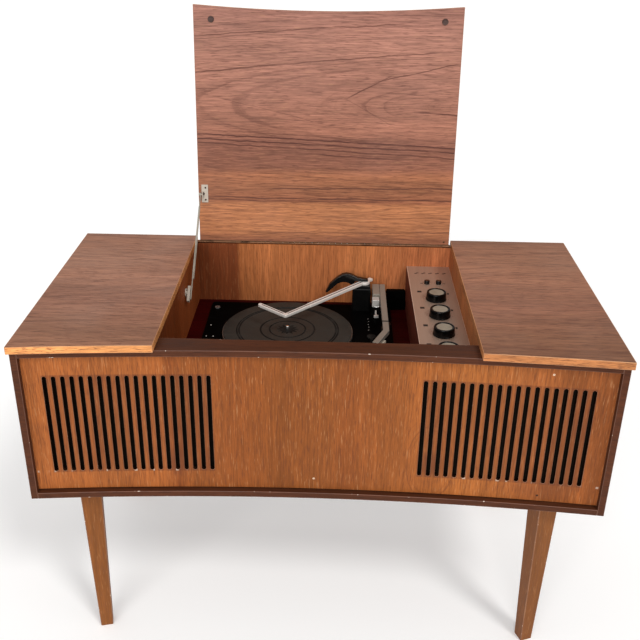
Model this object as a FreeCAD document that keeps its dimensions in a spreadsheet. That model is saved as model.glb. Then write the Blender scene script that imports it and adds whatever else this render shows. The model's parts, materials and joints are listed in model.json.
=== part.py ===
import FreeCAD, Part
import os
import re
import Sketcher

# A radio phonograph console on four screw-in legs.
# Units are millimetres. X runs to the right, Y to the back and Z up.
# The origin is on the floor, under the middle of the whole object with its lid open.
# The lid is built open, resting against its stay.

doc = FreeCAD.newDocument("console")

# ---------------------------------------------------------------- sizes

SIZES = [
    # name, value, meaning
    ("top_width", "1030", "width over the two fixed tops"),
    ("top_depth", "532", "depth of a fixed top at its outer end"),
    ("top_thick", "14", "thickness of the fixed tops"),
    ("front_sagitta", "27", "hollow of the front over the full width"),
    ("front_overhang", "8", "tops past the carcass front"),
    ("side_overhang", "2.5", "tops past the side boards"),
    ("body_depth", "524", "depth of the side boards"),
    ("body_height", "301", "height of the carcass"),
    ("board", "12", "thickness of the carcass boards"),
    ("back_face", "242", "carcass back behind the origin"),
    ("leg_length", "345", "length of a leg"),
    ("leg_head", "39", "side of a leg at its top"),
    ("leg_foot", "24", "side of a leg at the floor"),
    ("leg_inset", "96", "middle of a leg inside the tops' outer edge"),
    ("leg_set", "55", "middle of a front leg behind the carcass front"),
    ("leg_back", "34", "middle of a rear leg in front of the carcass back"),
    ("stud_radius", "4", "leg stud"),
    ("opening_width", "546", "opening between the fixed tops"),
    ("well_depth", "443", "opening of the well, front to back"),
    ("back_wall", "10", "thickness of the well's back wall"),
    ("front_wall", "9", "thickness of the well's front wall"),
    ("cover_thick", "4", "thickness of the back cover"),
    ("deck_drop", "146", "motor board below the tops"),
    ("panel_recess", "10", "front panel behind the frame"),
    ("panel_thick", "9", "thickness of the front panel"),
    ("panel_lift", "2.5", "gap under the front panel"),
    ("slot_count", "19", "slots in one grille"),
    ("slot_pitch", "15.5", "spacing of the slots"),
    ("slot_width", "7.6", "width of a slot"),
    ("slot_height", "195", "height of a slot"),
    ("slot_margin", "36", "outermost slot inside the side board"),
    ("slot_middle", "495", "height of the grille's middle"),
    ("lid_play", "10.5", "lid narrower than its opening"),
    ("lid_depth", "481", "length of the lid at its corners"),
    ("lid_thick", "12", "thickness of the lid"),
    ("lid_sagitta", "10.5", "hollow of the lid's front edge"),
    ("lid_shift", "1.25", "lid set to the right of the middle"),
    ("lid_open", "95.7", "angle of the open lid"),
    ("pin_back", "10", "hinge pin in front of the carcass back"),
    ("pin_drop", "10", "hinge pin below the tops"),
    ("knuckle_radius", "2.5", "piano hinge knuckle"),
    ("knuckle_pitch", "25.4", "two knuckles of the piano hinge"),
    ("knuckle_pairs", "20", "pairs of knuckles"),
    ("knuckle_gap", "0.3", "play between knuckles"),
    ("pin_radius", "1", "hinge pin"),
    ("turning_gap", "0.1", "running clearance round small shafts"),
    ("leaf_thick", "1", "hinge leaf"),
    ("leaf_set", "3.8", "lid's back end in front of the pin"),
    ("stay_reach", "105", "stay pivot from the hinge pin, along the lid"),
    ("stay_drop", "5", "stay pivot below the lid when it is shut"),
    ("stay_inset", "10.5", "stay rod inside the well wall"),
    ("stay_thick", "2", "thickness of the stay rod"),
    ("stay_width", "4", "width of the stay rod"),
    ("stay_overrun", "14", "stay rod past its guide"),
    ("guide_y", "60", "stay guide"),
    ("guide_z", "606", "stay guide above the floor"),
    ("plate_inset", "33", "left edge of the unit plate inside the well wall"),
    ("plate_width", "388", "width of the unit plate"),
    ("plate_front", "-108", "front edge of the unit plate"),
    ("plate_depth", "312", "depth of the unit plate"),
    ("plate_rise", "6", "unit plate above the motor board"),
    ("plate_sheet", "2", "sheet of the unit plate"),
    ("plate_edge", "4.5", "depth of the unit plate's turned edge"),
    ("platter_x", "-67", "platter centre"),
    ("platter_y", "50", "platter centre"),
    ("platter_radius", "132.5", "platter"),
    ("rim_wall", "3", "wall of the platter's rim"),
    ("spindle_radius", "3.55", "record spindle"),
    ("bearing_radius", "4.2", "shaft inside the platter"),
    ("spindle_rise", "8", "spindle above the mat"),
    ("mat_edge", "2", "platter past its mat"),
    ("mat_thick", "3", "platter mat"),
    ("idler_radius", "30", "idler wheel"),
    ("idler_turn", "150", "direction of the idler from the platter"),
    ("pulley_radius", "5", "motor pulley"),
    ("pulley_turn", "250", "direction of the pulley from the idler"),
    ("drive_gap", "0.3", "room between the rolling faces"),
    ("arm_x", "117", "tonearm pivot"),
    ("arm_y", "147", "tonearm pivot"),
    ("arm_axis", "556", "height of the tonearm's cross pin"),
    ("bar_left", "123.5", "left face of the tonearm bar"),
    ("bar_width", "12", "width of the tonearm bar"),
    ("bar_bottom", "557", "underside of the tonearm bar"),
    ("bar_height", "9", "height of the tonearm bar"),
    ("bar_front", "-8", "bend of the tonearm"),
    ("bar_back", "214", "rear end of the tonearm"),
    ("head_turn", "23", "offset angle of the head"),
    ("hub_x", "90", "overarm post"),
    ("hub_y", "191", "overarm post"),
    ("elbow_x", "-69", "bend of the overarm"),
    ("elbow_y", "18", "bend of the overarm"),
    ("tip_x", "-122.5", "tip of the overarm"),
    ("tip_y", "63.5", "tip of the overarm"),
    ("overarm_bottom", "577", "underside of the overarm"),
    ("overarm_height", "6", "height of the overarm"),
    ("overarm_width", "9", "width of the overarm"),
    ("control_width", "91", "width of the control plate"),
    ("control_top", "604", "face of the control plate"),
    ("control_sheet", "2", "control plate"),
    ("cheek", "8", "side of the control box"),
    ("knob_inset", "43.4", "row of knobs inside the well wall"),
    ("knob_back", "59", "rearmost knob"),
    ("knob_pitch", "77", "spacing of the knobs"),
    ("knob_radius", "20.5", "knob skirt"),
    ("shaft_radius", "3", "knob shaft"),
    ("button_radius", "5.6", "push button"),
    ("button_inset", "55", "left push button inside the well wall"),
    ("button_pitch", "24", "spacing of the push buttons"),
    ("button_y", "137", "row of push buttons"),
    ("speaker_radius", "100", "speaker frame"),
    ("baffle_hole", "88", "radius of the baffle's opening"),
    # worked out from the values above
    ("body_side", "=top_width / 2 - side_overhang", "outside of a side board"),
    ("inner_side", "=body_side - board", "inside of a side board"),
    ("slot_first", "=inner_side - slot_margin - (slot_count - 1) * slot_pitch", "innermost slot from the middle"),
    ("speaker_x", "=slot_first + (slot_count - 1) * slot_pitch / 2", "middle of a grille"),
    ("well_side", "=opening_width / 2", "inside of the well at the side"),
    ("speaker_shift", "=(inner_side + well_side + board) / 2 - speaker_x - 0.75", "speaker from the grille's middle"),
    ("front_radius", "=(top_width^2 / 4 + front_sagitta^2) / (2 * front_sagitta)", "front curve"),
    ("front_face", "=back_face - body_depth", "carcass front at the side boards"),
    ("front_centre", "=front_sagitta - front_radius + front_face - front_overhang", "centre of the curve"),
    ("body_top", "=leg_length + body_height", "top of the carcass"),
    ("full_top", "=body_top + top_thick", "face of the tops"),
    ("floor_top", "=leg_length + board", "face of the bottom board"),
    ("rail_bottom", "=body_top - board", "underside of the top rail"),
    ("cover_front", "=back_face - cover_thick", "inside of the back cover"),
    ("well_back", "=cover_front - back_wall", "inside of the well at the back"),
    ("well_front", "=well_back - well_depth", "inside of the well at the front"),
    ("deck_top", "=full_top - deck_drop", "face of the motor board"),
    ("deck_bottom", "=deck_top - board", "underside of the motor board"),
    ("plate_top", "=deck_top + plate_rise", "face of the unit plate"),
    ("plate_under", "=plate_top - plate_sheet", "underside of the unit plate"),
    ("platter_top", "=plate_top + 11", "face of the platter"),
    ("mat_top", "=platter_top + mat_thick", "face of the mat"),
    ("pin_y", "=back_face - pin_back", "hinge pin"),
    ("pin_z", "=full_top - pin_drop", "hinge pin"),
    ("wall_top", "=pin_z - knuckle_radius", "top of the well's back wall"),
    ("lid_under", "=lid_thick - pin_drop", "lid's underside below the pin, shut"),
    ("lid_width", "=opening_width - lid_play", "width of the lid"),
    ("lid_radius", "=(lid_width^2 / 4 + lid_sagitta^2) / (2 * lid_sagitta)", "lid's front curve"),
    ("control_left", "=well_side - control_width", "left edge of the control plate"),
    ("knob_x", "=well_side - knob_inset", "row of knobs"),
    ("button_x", "=well_side - button_inset", "left push button"),
    ("plate_left", "=plate_inset - well_side", "left edge of the unit plate"),
    ("rim_inner", "=platter_radius - rim_wall", "inside of the platter's rim"),
    ("mat_radius", "=platter_radius - mat_edge", "platter mat"),
    ("idler_x", "=platter_x + (rim_inner - drive_gap - idler_radius) * cos(idler_turn)", "idler"),
    ("idler_y", "=platter_y + (rim_inner - drive_gap - idler_radius) * sin(idler_turn)", "idler"),
    ("pulley_x", "=idler_x + (idler_radius + drive_gap + pulley_radius) * cos(pulley_turn)", "pulley"),
    ("pulley_y", "=idler_y + (idler_radius + drive_gap + pulley_radius) * sin(pulley_turn)", "pulley"),
    ("stay_x", "=stay_inset - well_side", "left face of the stay rod"),
    ("stay_sink", "=lid_under + stay_drop", "stay pivot below the pin when the lid is shut"),
    ("stay_y", "=pin_y - stay_reach * cos(lid_open) - stay_sink * sin(lid_open)", "stay pivot"),
    ("stay_z", "=pin_z + stay_reach * sin(lid_open) - stay_sink * cos(lid_open)", "stay pivot"),
    ("stay_turn", "=atan2(stay_z - guide_z; stay_y - guide_y)", "slope of the stay rod"),
    ("stay_length", "=sqrt((stay_z - guide_z)^2 + (stay_y - guide_y)^2) + stay_overrun", "stay rod"),
    ("baffle_reach", "=front_radius + front_overhang + panel_recess + panel_thick + drive_gap", "baffle"),
    ("baffle_turn", "=asin(speaker_x / baffle_reach)", "turn of a baffle"),
    ("baffle_x", "=baffle_reach * sin(baffle_turn)", "front of a baffle"),
    ("baffle_y", "=front_centre + baffle_reach * cos(baffle_turn)", "front of a baffle"),
]

sheet = doc.addObject("Spreadsheet::Sheet", "Sizes")
for row, (alias, value, note) in enumerate(SIZES, 1):
    sheet.set("A%d" % row, value)
    sheet.setAlias("A%d" % row, alias)
    sheet.set("B%d" % row, note)
doc.recompute()

ALIASES = re.compile(r"\b(" + "|".join(alias for alias, value, note in SIZES) + r")\b")
parts = {}


def rule(text):
    """Give a rule in sheet names the form that an object's property wants."""
    return ALIASES.sub(r"Sizes.\1", str(text))


def bind(item, **rules):
    """Tie an object's properties to the sheet."""
    for name, text in rules.items():
        item.setExpression(name, rule(text))


def place(item, x=0, y=0, z=0, turn=0, pitch=0, roll=0):
    """Tie an object's position and its turns about Z, Y and X to the sheet."""
    text = "placement(vector(%s; %s; %s); rotation(%s; %s; %s))" % (x, y, z, turn, pitch, roll)
    item.setExpression("Placement", rule(text))
    return item


def fresh(kind, name):
    """Add one object to the document."""
    return doc.addObject(kind, name)


def block(name, x0, x1, y0, y1, z0, z1):
    """A rectangular block between two corners."""
    item = fresh("Part::Box", name)
    bind(item, Length="(%s) - (%s)" % (x1, x0), Width="(%s) - (%s)" % (y1, y0),
         Height="(%s) - (%s)" % (z1, z0))
    return place(item, x0, y0, z0)


def bar(name, length, width, height, x, y, z, turn=0, pitch=0, roll=0):
    """A block by its sizes, with its first corner at a point and turned about that point."""
    item = fresh("Part::Box", name)
    bind(item, Length=length, Width=width, Height=height)
    return place(item, x, y, z, turn, pitch, roll)


def post(name, radius, x, y, z0, z1):
    """An upright cylinder."""
    item = fresh("Part::Cylinder", name)
    bind(item, Radius=radius, Height="(%s) - (%s)" % (z1, z0))
    return place(item, x, y, z0)


def axle(name, radius, x0, x1, y, z):
    """A cylinder along X."""
    item = fresh("Part::Cylinder", name)
    bind(item, Radius=radius, Height="(%s) - (%s)" % (x1, x0))
    return place(item, x0, y, z, 0, 90, 0)


def bolt(name, radius, x, y0, y1, z):
    """A cylinder along Y."""
    item = fresh("Part::Cylinder", name)
    bind(item, Radius=radius, Height="(%s) - (%s)" % (y1, y0))
    return place(item, x, y0, z, 0, 0, -90)


def cut(name, base, *tools):
    """One shape less the others."""
    tool = tools[0] if len(tools) == 1 else join(name + "_tools", *tools)
    item = fresh("Part::Cut", name)
    item.Base = base
    item.Tool = tool
    return item


def join(name, *shapes):
    """Several shapes as one."""
    item = fresh("Part::MultiFuse", name)
    item.Shapes = list(shapes)
    return item


def common(name, *shapes):
    """The room that several shapes share."""
    item = fresh("Part::MultiCommon", name)
    item.Shapes = list(shapes)
    return item


def group(name, *shapes):
    """Equal pieces kept as separate solids."""
    item = fresh("Part::Compound", name)
    item.Links = list(shapes)
    return item


def outline(body, name, plane, points):
    """A closed sketch through points, each tied to the sheet."""
    sketch = fresh("Sketcher::SketchObject", name)
    body.addObject(sketch)
    support = [item for item in body.Origin.OriginFeatures if item.Role == plane][0]
    sketch.AttachmentSupport = [(support, "")]
    sketch.MapMode = "FlatFace"
    values = [(worth(a), worth(b)) for a, b in points]
    count = len(points)
    for index in range(count):
        start = FreeCAD.Vector(values[index][0], values[index][1], 0)
        end = FreeCAD.Vector(values[(index + 1) % count][0], values[(index + 1) % count][1], 0)
        sketch.addGeometry(Part.LineSegment(start, end))
    for index in range(count):
        sketch.addConstraint(Sketcher.Constraint("Coincident", index, 2, (index + 1) % count, 1))
    for index in range(count):
        for axis, kind in enumerate(("DistanceX", "DistanceY")):
            spot = sketch.addConstraint(Sketcher.Constraint(kind, -1, 1, index, 1, values[index][axis]))
            sketch.setExpression("Constraints[%d]" % spot, rule(points[index][axis]))
    return sketch


def worth(text):
    """The present value of a rule in sheet names."""
    probe = sheet.evalExpression(ALIASES.sub(r"\1", str(text)))
    return float(probe)


def turned(name, points):
    """A body turned about Z from a closed outline of (radius, height) points."""
    body = fresh("PartDesign::Body", name)
    sketch = outline(body, name + "_outline", "XZ_Plane", points)
    lathe = fresh("PartDesign::Revolution", name + "_turned")
    body.addObject(lathe)
    lathe.Profile = sketch
    lathe.ReferenceAxis = (sketch, ["V_Axis"])
    lathe.Angle = 360
    sketch.Visibility = False
    body.Tip = lathe
    return body


def padded(name, plane, points, length):
    """A body pushed out evenly to both sides of a plane from a closed outline."""
    body = fresh("PartDesign::Body", name)
    sketch = outline(body, name + "_outline", plane, points)
    pad = fresh("PartDesign::Pad", name + "_pad")
    body.addObject(pad)
    pad.Profile = sketch
    pad.SideType = "Symmetric"
    bind(pad, Length=length)
    body.Tip = pad
    return body


def upright_edges(shape):
    """Numbers of a shape's straight edges that run along Z."""
    found = []
    for number, edge in enumerate(shape.Edges, 1):
        ends = [vertex.Point for vertex in edge.Vertexes]
        if len(ends) == 2 and (ends[1] - ends[0]).cross(FreeCAD.Vector(0, 0, 1)).Length < 1e-6:
            found.append(number)
    return found


def rounded(name, base, radius):
    """A shape with its upright edges rounded."""
    doc.recompute()
    item = fresh("Part::Fillet", name)
    item.Base = base
    item.Edges = [(number, radius, radius) for number in upright_edges(base.Shape)]
    return item


def part(node, item):
    """Give a finished piece its node name."""
    item.Label = node
    parts[node] = item
    return item


def front_tool(name, setback):
    """The room in front of the hollow front, set back by some amount."""
    return post(name, "front_radius + (%s)" % setback, 0, "front_centre", "leg_length - 20", "full_top + 20")


def leg_x(side):
    """Across place of a leg; side is -1 on the left and 1 on the right."""
    return "%d * (top_width / 2 - leg_inset)" % side


def leg_y(end):
    """Along place of a leg; end is -1 at the front and 1 at the back."""
    return "front_face + leg_set" if end < 0 else "back_face - leg_back"


# ---------------------------------------------------------------- carcass

FRAME = "front_overhang"
PANEL_FACE = "front_overhang + panel_recess"
PANEL_BACK = "front_overhang + panel_recess + panel_thick"

for side, x0, x1 in (("left", "-body_side", "-inner_side"), ("right", "inner_side", "body_side")):
    blank = block("side_blank_" + side, x0, x1, "front_face", "back_face", "leg_length", "body_top")
    part("side_panel_" + side, cut("side_" + side, blank, front_tool("side_front_" + side, FRAME)))

stud_spots = [(side, end) for end in (-1, 1) for side in (-1, 1)]
bottom_blank = block("bottom_blank", "-inner_side", "inner_side", "front_face", "back_face",
                     "leg_length", "floor_top")
stud_holes = [
    post("stud_hole_%d" % number, "stud_radius + turning_gap * 2", leg_x(side), leg_y(end),
         "leg_length - 1", "floor_top + 1")
    for number, (side, end) in enumerate(stud_spots)
]
part("bottom_board", cut("bottom", bottom_blank, front_tool("bottom_front", FRAME), *stud_holes))

rail_blank = block("rail_blank", "-inner_side", "inner_side", "front_face", "well_front",
                   "rail_bottom", "body_top")
part("top_rail", cut("rail", rail_blank, front_tool("rail_front", FRAME)))

# Front panel: a curved sheet with two grilles of round-ended slots.
panel_blank = block("panel_blank", "-inner_side", "inner_side", "front_face - 20", "well_front",
                    "floor_top + panel_lift", "rail_bottom")
panel_sheet = common("panel_sheet", panel_blank, front_tool("panel_back", PANEL_BACK))


def grille(name, direction):
    """A row of slots as solid rods, from the innermost slot outwards."""
    tools = []
    for number in range(int(sheet.get("slot_count"))):
        x = "%d * (slot_first + %d * slot_pitch)" % (direction, number)
        y0 = "front_face - 30"
        y1 = "well_front"
        half = "(slot_height - slot_width) / 2"
        tag = "%s_%d" % (name, number)
        tools.append(block(tag + "_middle", x + " - slot_width / 2", x + " + slot_width / 2", y0, y1,
                           "slot_middle - " + half, "slot_middle + " + half))
        tools.append(bolt(tag + "_foot", "slot_width / 2", x, y0, y1, "slot_middle - " + half))
        tools.append(bolt(tag + "_head", "slot_width / 2", x, y0, y1, "slot_middle + " + half))
    return tools


slots = grille("slot_left", -1) + grille("slot_right", 1)
part("front_panel", cut("panel", panel_sheet, front_tool("panel_front", PANEL_FACE), *slots))

for side, x0, x1 in (("left", "-top_width / 2", "-well_side"), ("right", "well_side", "top_width / 2")):
    blank = block("top_blank_" + side, x0, x1, "front_face - front_overhang - 1", "back_face",
                  "body_top", "full_top")
    part("top_" + side, cut("top_cut_" + side, blank, front_tool("top_front_" + side, "0")))

cover_blank = block("cover_blank", "-inner_side", "inner_side", "cover_front", "back_face",
                    "floor_top", "body_top")
vents = []
for side in (-1, 1):
    for number in range(9):
        x = "%d * (speaker_x + 75 + %d)" % (side, (number - 4) * 20)
        vents.append(block("vent_%d_%d" % (side + 1, number), x + " - 3", x + " + 3", "cover_front - 1",
                           "back_face + 1", "body_top - 90", "body_top - 40"))
inlet_hole = bolt("inlet_hole", "6.2", "230", "cover_front - 1", "back_face + 1", "floor_top + 63")
part("back_cover", cut("cover", cover_blank, inlet_hole, *vents))

inlet_flange = bolt("inlet_flange", "10", "230", "back_face", "back_face + 3", "floor_top + 63")
inlet_neck = bolt("inlet_neck", "6", "230", "cover_front - 6", "back_face + 1", "floor_top + 63")
inlet_bore = bolt("inlet_bore", "3.2", "230", "cover_front - 7", "back_face + 4", "floor_top + 63")
part("mains_inlet", cut("inlet", join("inlet_body", inlet_flange, inlet_neck), inlet_bore))

# ---------------------------------------------------------------- turntable well

for side, x0, x1 in (("left", "-well_side - board", "-well_side"), ("right", "well_side", "well_side + board")):
    blank = block("wall_blank_" + side, x0, x1, "well_front - front_wall", "cover_front",
                  "floor_top", "body_top")
    notch = block("wall_notch_" + side, x0 + " - 1", x1 + " + 1", "well_front - front_wall - 1",
                  "well_front", "rail_bottom", "body_top + 1")
    part("well_wall_" + side, cut("wall_" + side, blank, notch))

part("well_wall_front", block("wall_front", "-well_side", "well_side", "well_front - front_wall",
                              "well_front", "deck_bottom", "rail_bottom"))
part("well_wall_back", block("wall_back", "-well_side", "well_side", "well_back", "cover_front",
                             "deck_bottom", "wall_top"))

SCREW_SPOTS = [
    ("plate_left + 14", "plate_front + plate_depth - 31"),
    ("plate_left + plate_width - 14", "plate_front + plate_depth - 31"),
    ("plate_left + 14", "plate_front + 31"),
    ("plate_left + plate_width - 14", "plate_front + 31"),
]
deck_blank = block("deck_blank", "-well_side", "well_side", "well_front", "well_back",
                   "deck_bottom", "deck_top")
deck_opening = block("deck_opening", "plate_left + 28", "plate_left + plate_width - 24",
                     "plate_front + 16", "plate_front + plate_depth - 16", "deck_bottom - 1", "deck_top + 1")
stay_slot = block("stay_slot", "stay_x - 7.5", "stay_x + 10.5", "-72", "-12", "deck_bottom - 1", "deck_top + 1")
deck_holes = [
    post("deck_hole_%d" % number, "2.8", x, y, "deck_bottom - 1", "deck_top + 1")
    for number, (x, y) in enumerate(SCREW_SPOTS)
]
part("motor_board", cut("deck", deck_blank, deck_opening, stay_slot, *deck_holes))

part("control_cheek", block("cheek_block", "control_left", "control_left + cheek", "well_front", "well_back",
                            "deck_top", "control_top - control_sheet"))

# ---------------------------------------------------------------- legs

LEG_TURNS = [("front_left", -1, -1, 13.9), ("front_right", 1, -1, 20.5),
             ("rear_left", -1, 1, 4), ("rear_right", 1, 1, -7)]
leg_plates = []
for place_name, side, end, turn in LEG_TURNS:
    leg = fresh("Part::Wedge", "leg_taper_" + place_name)
    bind(leg, Xmin="-leg_foot / 2", Xmax="leg_foot / 2", Zmin="-leg_foot / 2", Zmax="leg_foot / 2",
         X2min="-leg_head / 2", X2max="leg_head / 2", Z2min="-leg_head / 2", Z2max="leg_head / 2",
         Ymin="0", Ymax="leg_length")
    x = leg_x(side)
    y = leg_y(end)
    place(leg, x, y, 0, turn, 0, 90)
    hole = post("leg_hole_" + place_name, "stud_radius + turning_gap", x, y, "leg_length - 26", "leg_length + 1")
    part("leg_" + place_name, cut("leg_cut_" + place_name, leg, hole))
    inward = "%s - %d * 13" % (y, end)
    flange = block("leg_flange_" + place_name, x + " - 25", x + " + 25", inward + " - 25", inward + " + 25",
                   "floor_top", "floor_top + 3")
    stud = post("leg_stud_" + place_name, "stud_radius", x, y, "leg_length - 25", "floor_top + 1")
    leg_plates.append(join("leg_plate_" + place_name, flange, stud))
part("leg_plates", group("leg_plate_set", *leg_plates))

# ---------------------------------------------------------------- lid, hinge and stay

# The lid's pieces are laid out shut, about the hinge pin, and then swung open.


def swing_open(item):
    """Put a piece laid out about the pin in its place, with the lid open."""
    return place(item, 0, "pin_y", "pin_z", 0, 0, "-lid_open")


LID_LEFT = "lid_shift - lid_width / 2"
LID_RIGHT = "lid_shift + lid_width / 2"
HINGE_LEFT = "lid_shift - knuckle_pairs * knuckle_pitch / 2"
HINGE_RIGHT = "lid_shift + knuckle_pairs * knuckle_pitch / 2"

lid_blank = block("lid_blank", LID_LEFT, LID_RIGHT, "-leaf_set - lid_depth - 1", "-leaf_set",
                  "-lid_under", "lid_thick - lid_under")
lid_front = post("lid_front", "lid_radius", "lid_shift", "lid_sagitta - lid_radius - leaf_set - lid_depth",
                 "-lid_under - 5", "lid_thick")
part("lid", swing_open(cut("lid_cut", lid_blank, lid_front)))

lid_leaf = [block("lid_leaf_sheet", HINGE_LEFT, HINGE_RIGHT, "-leaf_set", "-leaf_set + leaf_thick",
                  "-lid_under", "lid_thick - lid_under")]
fixed_leaf = [
    block("fixed_leaf_sheet", HINGE_LEFT, HINGE_RIGHT, "knuckle_radius + 0.3", "5.5",
          "-knuckle_radius", "-knuckle_radius + leaf_thick"),
    axle("hinge_pin", "pin_radius", HINGE_LEFT, HINGE_RIGHT, 0, 0),
]
for number in range(int(sheet.get("knuckle_pairs"))):
    start = HINGE_LEFT + " + %d * knuckle_pitch" % number
    middle = start + " + knuckle_pitch / 2"
    end = start + " + knuckle_pitch"
    fixed_leaf.append(axle("fixed_knuckle_%d" % number, "knuckle_radius", start,
                           middle + " - knuckle_gap", 0, 0))
    fixed_leaf.append(block("fixed_tab_%d" % number, start, middle + " - knuckle_gap", 0,
                            "knuckle_radius + 1", "-knuckle_radius", "-knuckle_radius + leaf_thick"))
    lid_leaf.append(axle("lid_knuckle_%d" % number, "knuckle_radius", middle, end + " - knuckle_gap", 0, 0))
    lid_leaf.append(block("lid_tab_%d" % number, middle, end + " - knuckle_gap",
                          "-leaf_set + leaf_thick / 2", "-pin_radius", "-1.2", "1.2"))
part("hinge_leaf_fixed", place(join("fixed_leaf", *fixed_leaf), 0, "pin_y", "pin_z"))
leaf_bore = axle("leaf_bore", "pin_radius + turning_gap", HINGE_LEFT + " - 1", HINGE_RIGHT + " + 1", 0, 0)
part("hinge_leaf_lid", swing_open(cut("lid_leaf", join("lid_leaf_body", *lid_leaf), leaf_bore)))

buffers = [
    post("buffer_%d" % number, "6.3", x, "-457", "-lid_under - 1.8", "-lid_under")
    for number, x in enumerate(("-231", "232"))
]
part("lid_buffers", swing_open(group("buffer_set", *buffers)))

bracket_plate = block("bracket_plate", "stay_x + 2.5", "stay_x + 16.5", "-stay_reach - 20", "-stay_reach + 18",
                      "-lid_under - 1.5", "-lid_under")
bracket_lug = block("bracket_lug", "stay_x + 4.5", "stay_x + 6", "-stay_reach - 6", "-stay_reach + 6",
                    "-stay_sink - 4", "-lid_under - 1")
bracket_pin = axle("bracket_pin", "2", "stay_x - 2", "stay_x + 5", "-stay_reach", "-stay_sink")
bracket_head = axle("bracket_head", "3.5", "stay_x - 3", "stay_x - 1", "-stay_reach", "-stay_sink")
part("stay_bracket", swing_open(join("bracket", bracket_plate, bracket_lug, bracket_pin, bracket_head)))

rod_blade = bar("rod_blade", "stay_thick", "stay_length", "stay_width", 0, "-stay_length", "-stay_width / 2")
rod_eye = axle("rod_eye", "4", 0, "stay_thick", 0, 0)
rod_foot = axle("rod_foot", "stay_width / 2", 0, "stay_thick", "-stay_length", 0)
rod_hole = axle("rod_hole", "2 + turning_gap", -1, "stay_thick + 1", 0, 0)
stay_rod = cut("stay_rod_cut", join("rod_body", rod_blade, rod_eye, rod_foot), rod_hole)
part("stay_rod", place(stay_rod, "stay_x", "stay_y", "stay_z", 0, 0, "stay_turn"))

guide_disc = axle("guide_disc", "9", 0, "2", 0, 0)
guide_stud = axle("guide_stud", "3", "1", "stay_x + well_side - 1", 0, 0)
guide_block = block("guide_block", "4", "stay_x + well_side - 1", "-20", "14", "-4", "4")
stay_guide = join("guide", guide_disc, guide_stud, guide_block)
part("stay_guide", place(stay_guide, "-well_side", "guide_y", "guide_z", 0, 0, "stay_turn"))

# ---------------------------------------------------------------- controls

KNOBS = ["volume_knob", "bass_knob", "treble_knob", "balance_knob"]
BUTTONS = ["power_button", "mono_button"]
KNOB_SPOTS = [("knob_x", "knob_back - %d * knob_pitch" % number) for number in range(len(KNOBS))]
BUTTON_SPOTS = [("button_x + %d * button_pitch" % number, "button_y") for number in range(len(BUTTONS))]


def control_holes(name, z0, z1):
    """Holes for the knob shafts and the push buttons."""
    holes = []
    for number, (x, y) in enumerate(KNOB_SPOTS):
        holes.append(post("%s_shaft_%d" % (name, number), "shaft_radius + 0.5", x, y, z0, z1))
    for number, (x, y) in enumerate(BUTTON_SPOTS):
        holes.append(post("%s_button_%d" % (name, number), "button_radius + 0.3", x, y, z0, z1))
    return holes


panel = block("control_blank", "control_left", "well_side", "well_front", "well_back",
              "control_top - control_sheet", "control_top")
part("control_panel", cut("control_cut", panel, *control_holes("plate", "control_top - 5", "control_top + 1")))

chassis_outer = block("chassis_outer", "control_left + 12", "well_side - 7", "-190", "175",
                      "control_top - 52", "control_top - control_sheet")
chassis_inner = block("chassis_inner", "control_left + 13.5", "well_side - 8.5", "-188.5", "173.5",
                      "control_top - 53", "control_top - control_sheet - 1.5")
part("amplifier_chassis", cut("chassis", chassis_outer, chassis_inner,
                              *control_holes("chassis", "control_top - 6", "control_top - 1")))

pots = []
for number, (x, y) in enumerate(KNOB_SPOTS):
    can = post("pot_can_%d" % number, "12", x, y, "control_top - 18", "control_top - 3.5")
    bore = post("pot_bore_%d" % number, "shaft_radius + turning_gap", x, y, "control_top - 15", "control_top - 3")
    pots.append(cut("pot_%d" % number, can, bore))
part("potentiometers", group("pot_set", *pots))

for node, (x, y) in zip(KNOBS, KNOB_SPOTS):
    knob = turned(node + "_body", [
        ("0", "-14"), ("shaft_radius", "-14"), ("shaft_radius", "0.6"), ("knob_radius", "0.6"),
        ("knob_radius", "2.5"), ("knob_radius - 1", "4"), ("knob_radius - 1.5", "16"),
        ("knob_radius - 4", "16"), ("knob_radius - 4", "16.6"), ("0", "16.6"),
    ])
    part(node, place(knob, x, y, "control_top"))

for node, (x, y) in zip(BUTTONS, BUTTON_SPOTS):
    part(node, post(node + "_stem", "button_radius", x, y, "control_top - 9", "control_top + 7"))

core = block("transformer_core", "180", "250", "40", "90", "floor_top", "floor_top + 60")
winding = block("transformer_winding", "195", "235", "28", "102", "floor_top + 14", "floor_top + 46")
part("mains_transformer", join("transformer", core, winding))

# ---------------------------------------------------------------- loudspeakers

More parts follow.
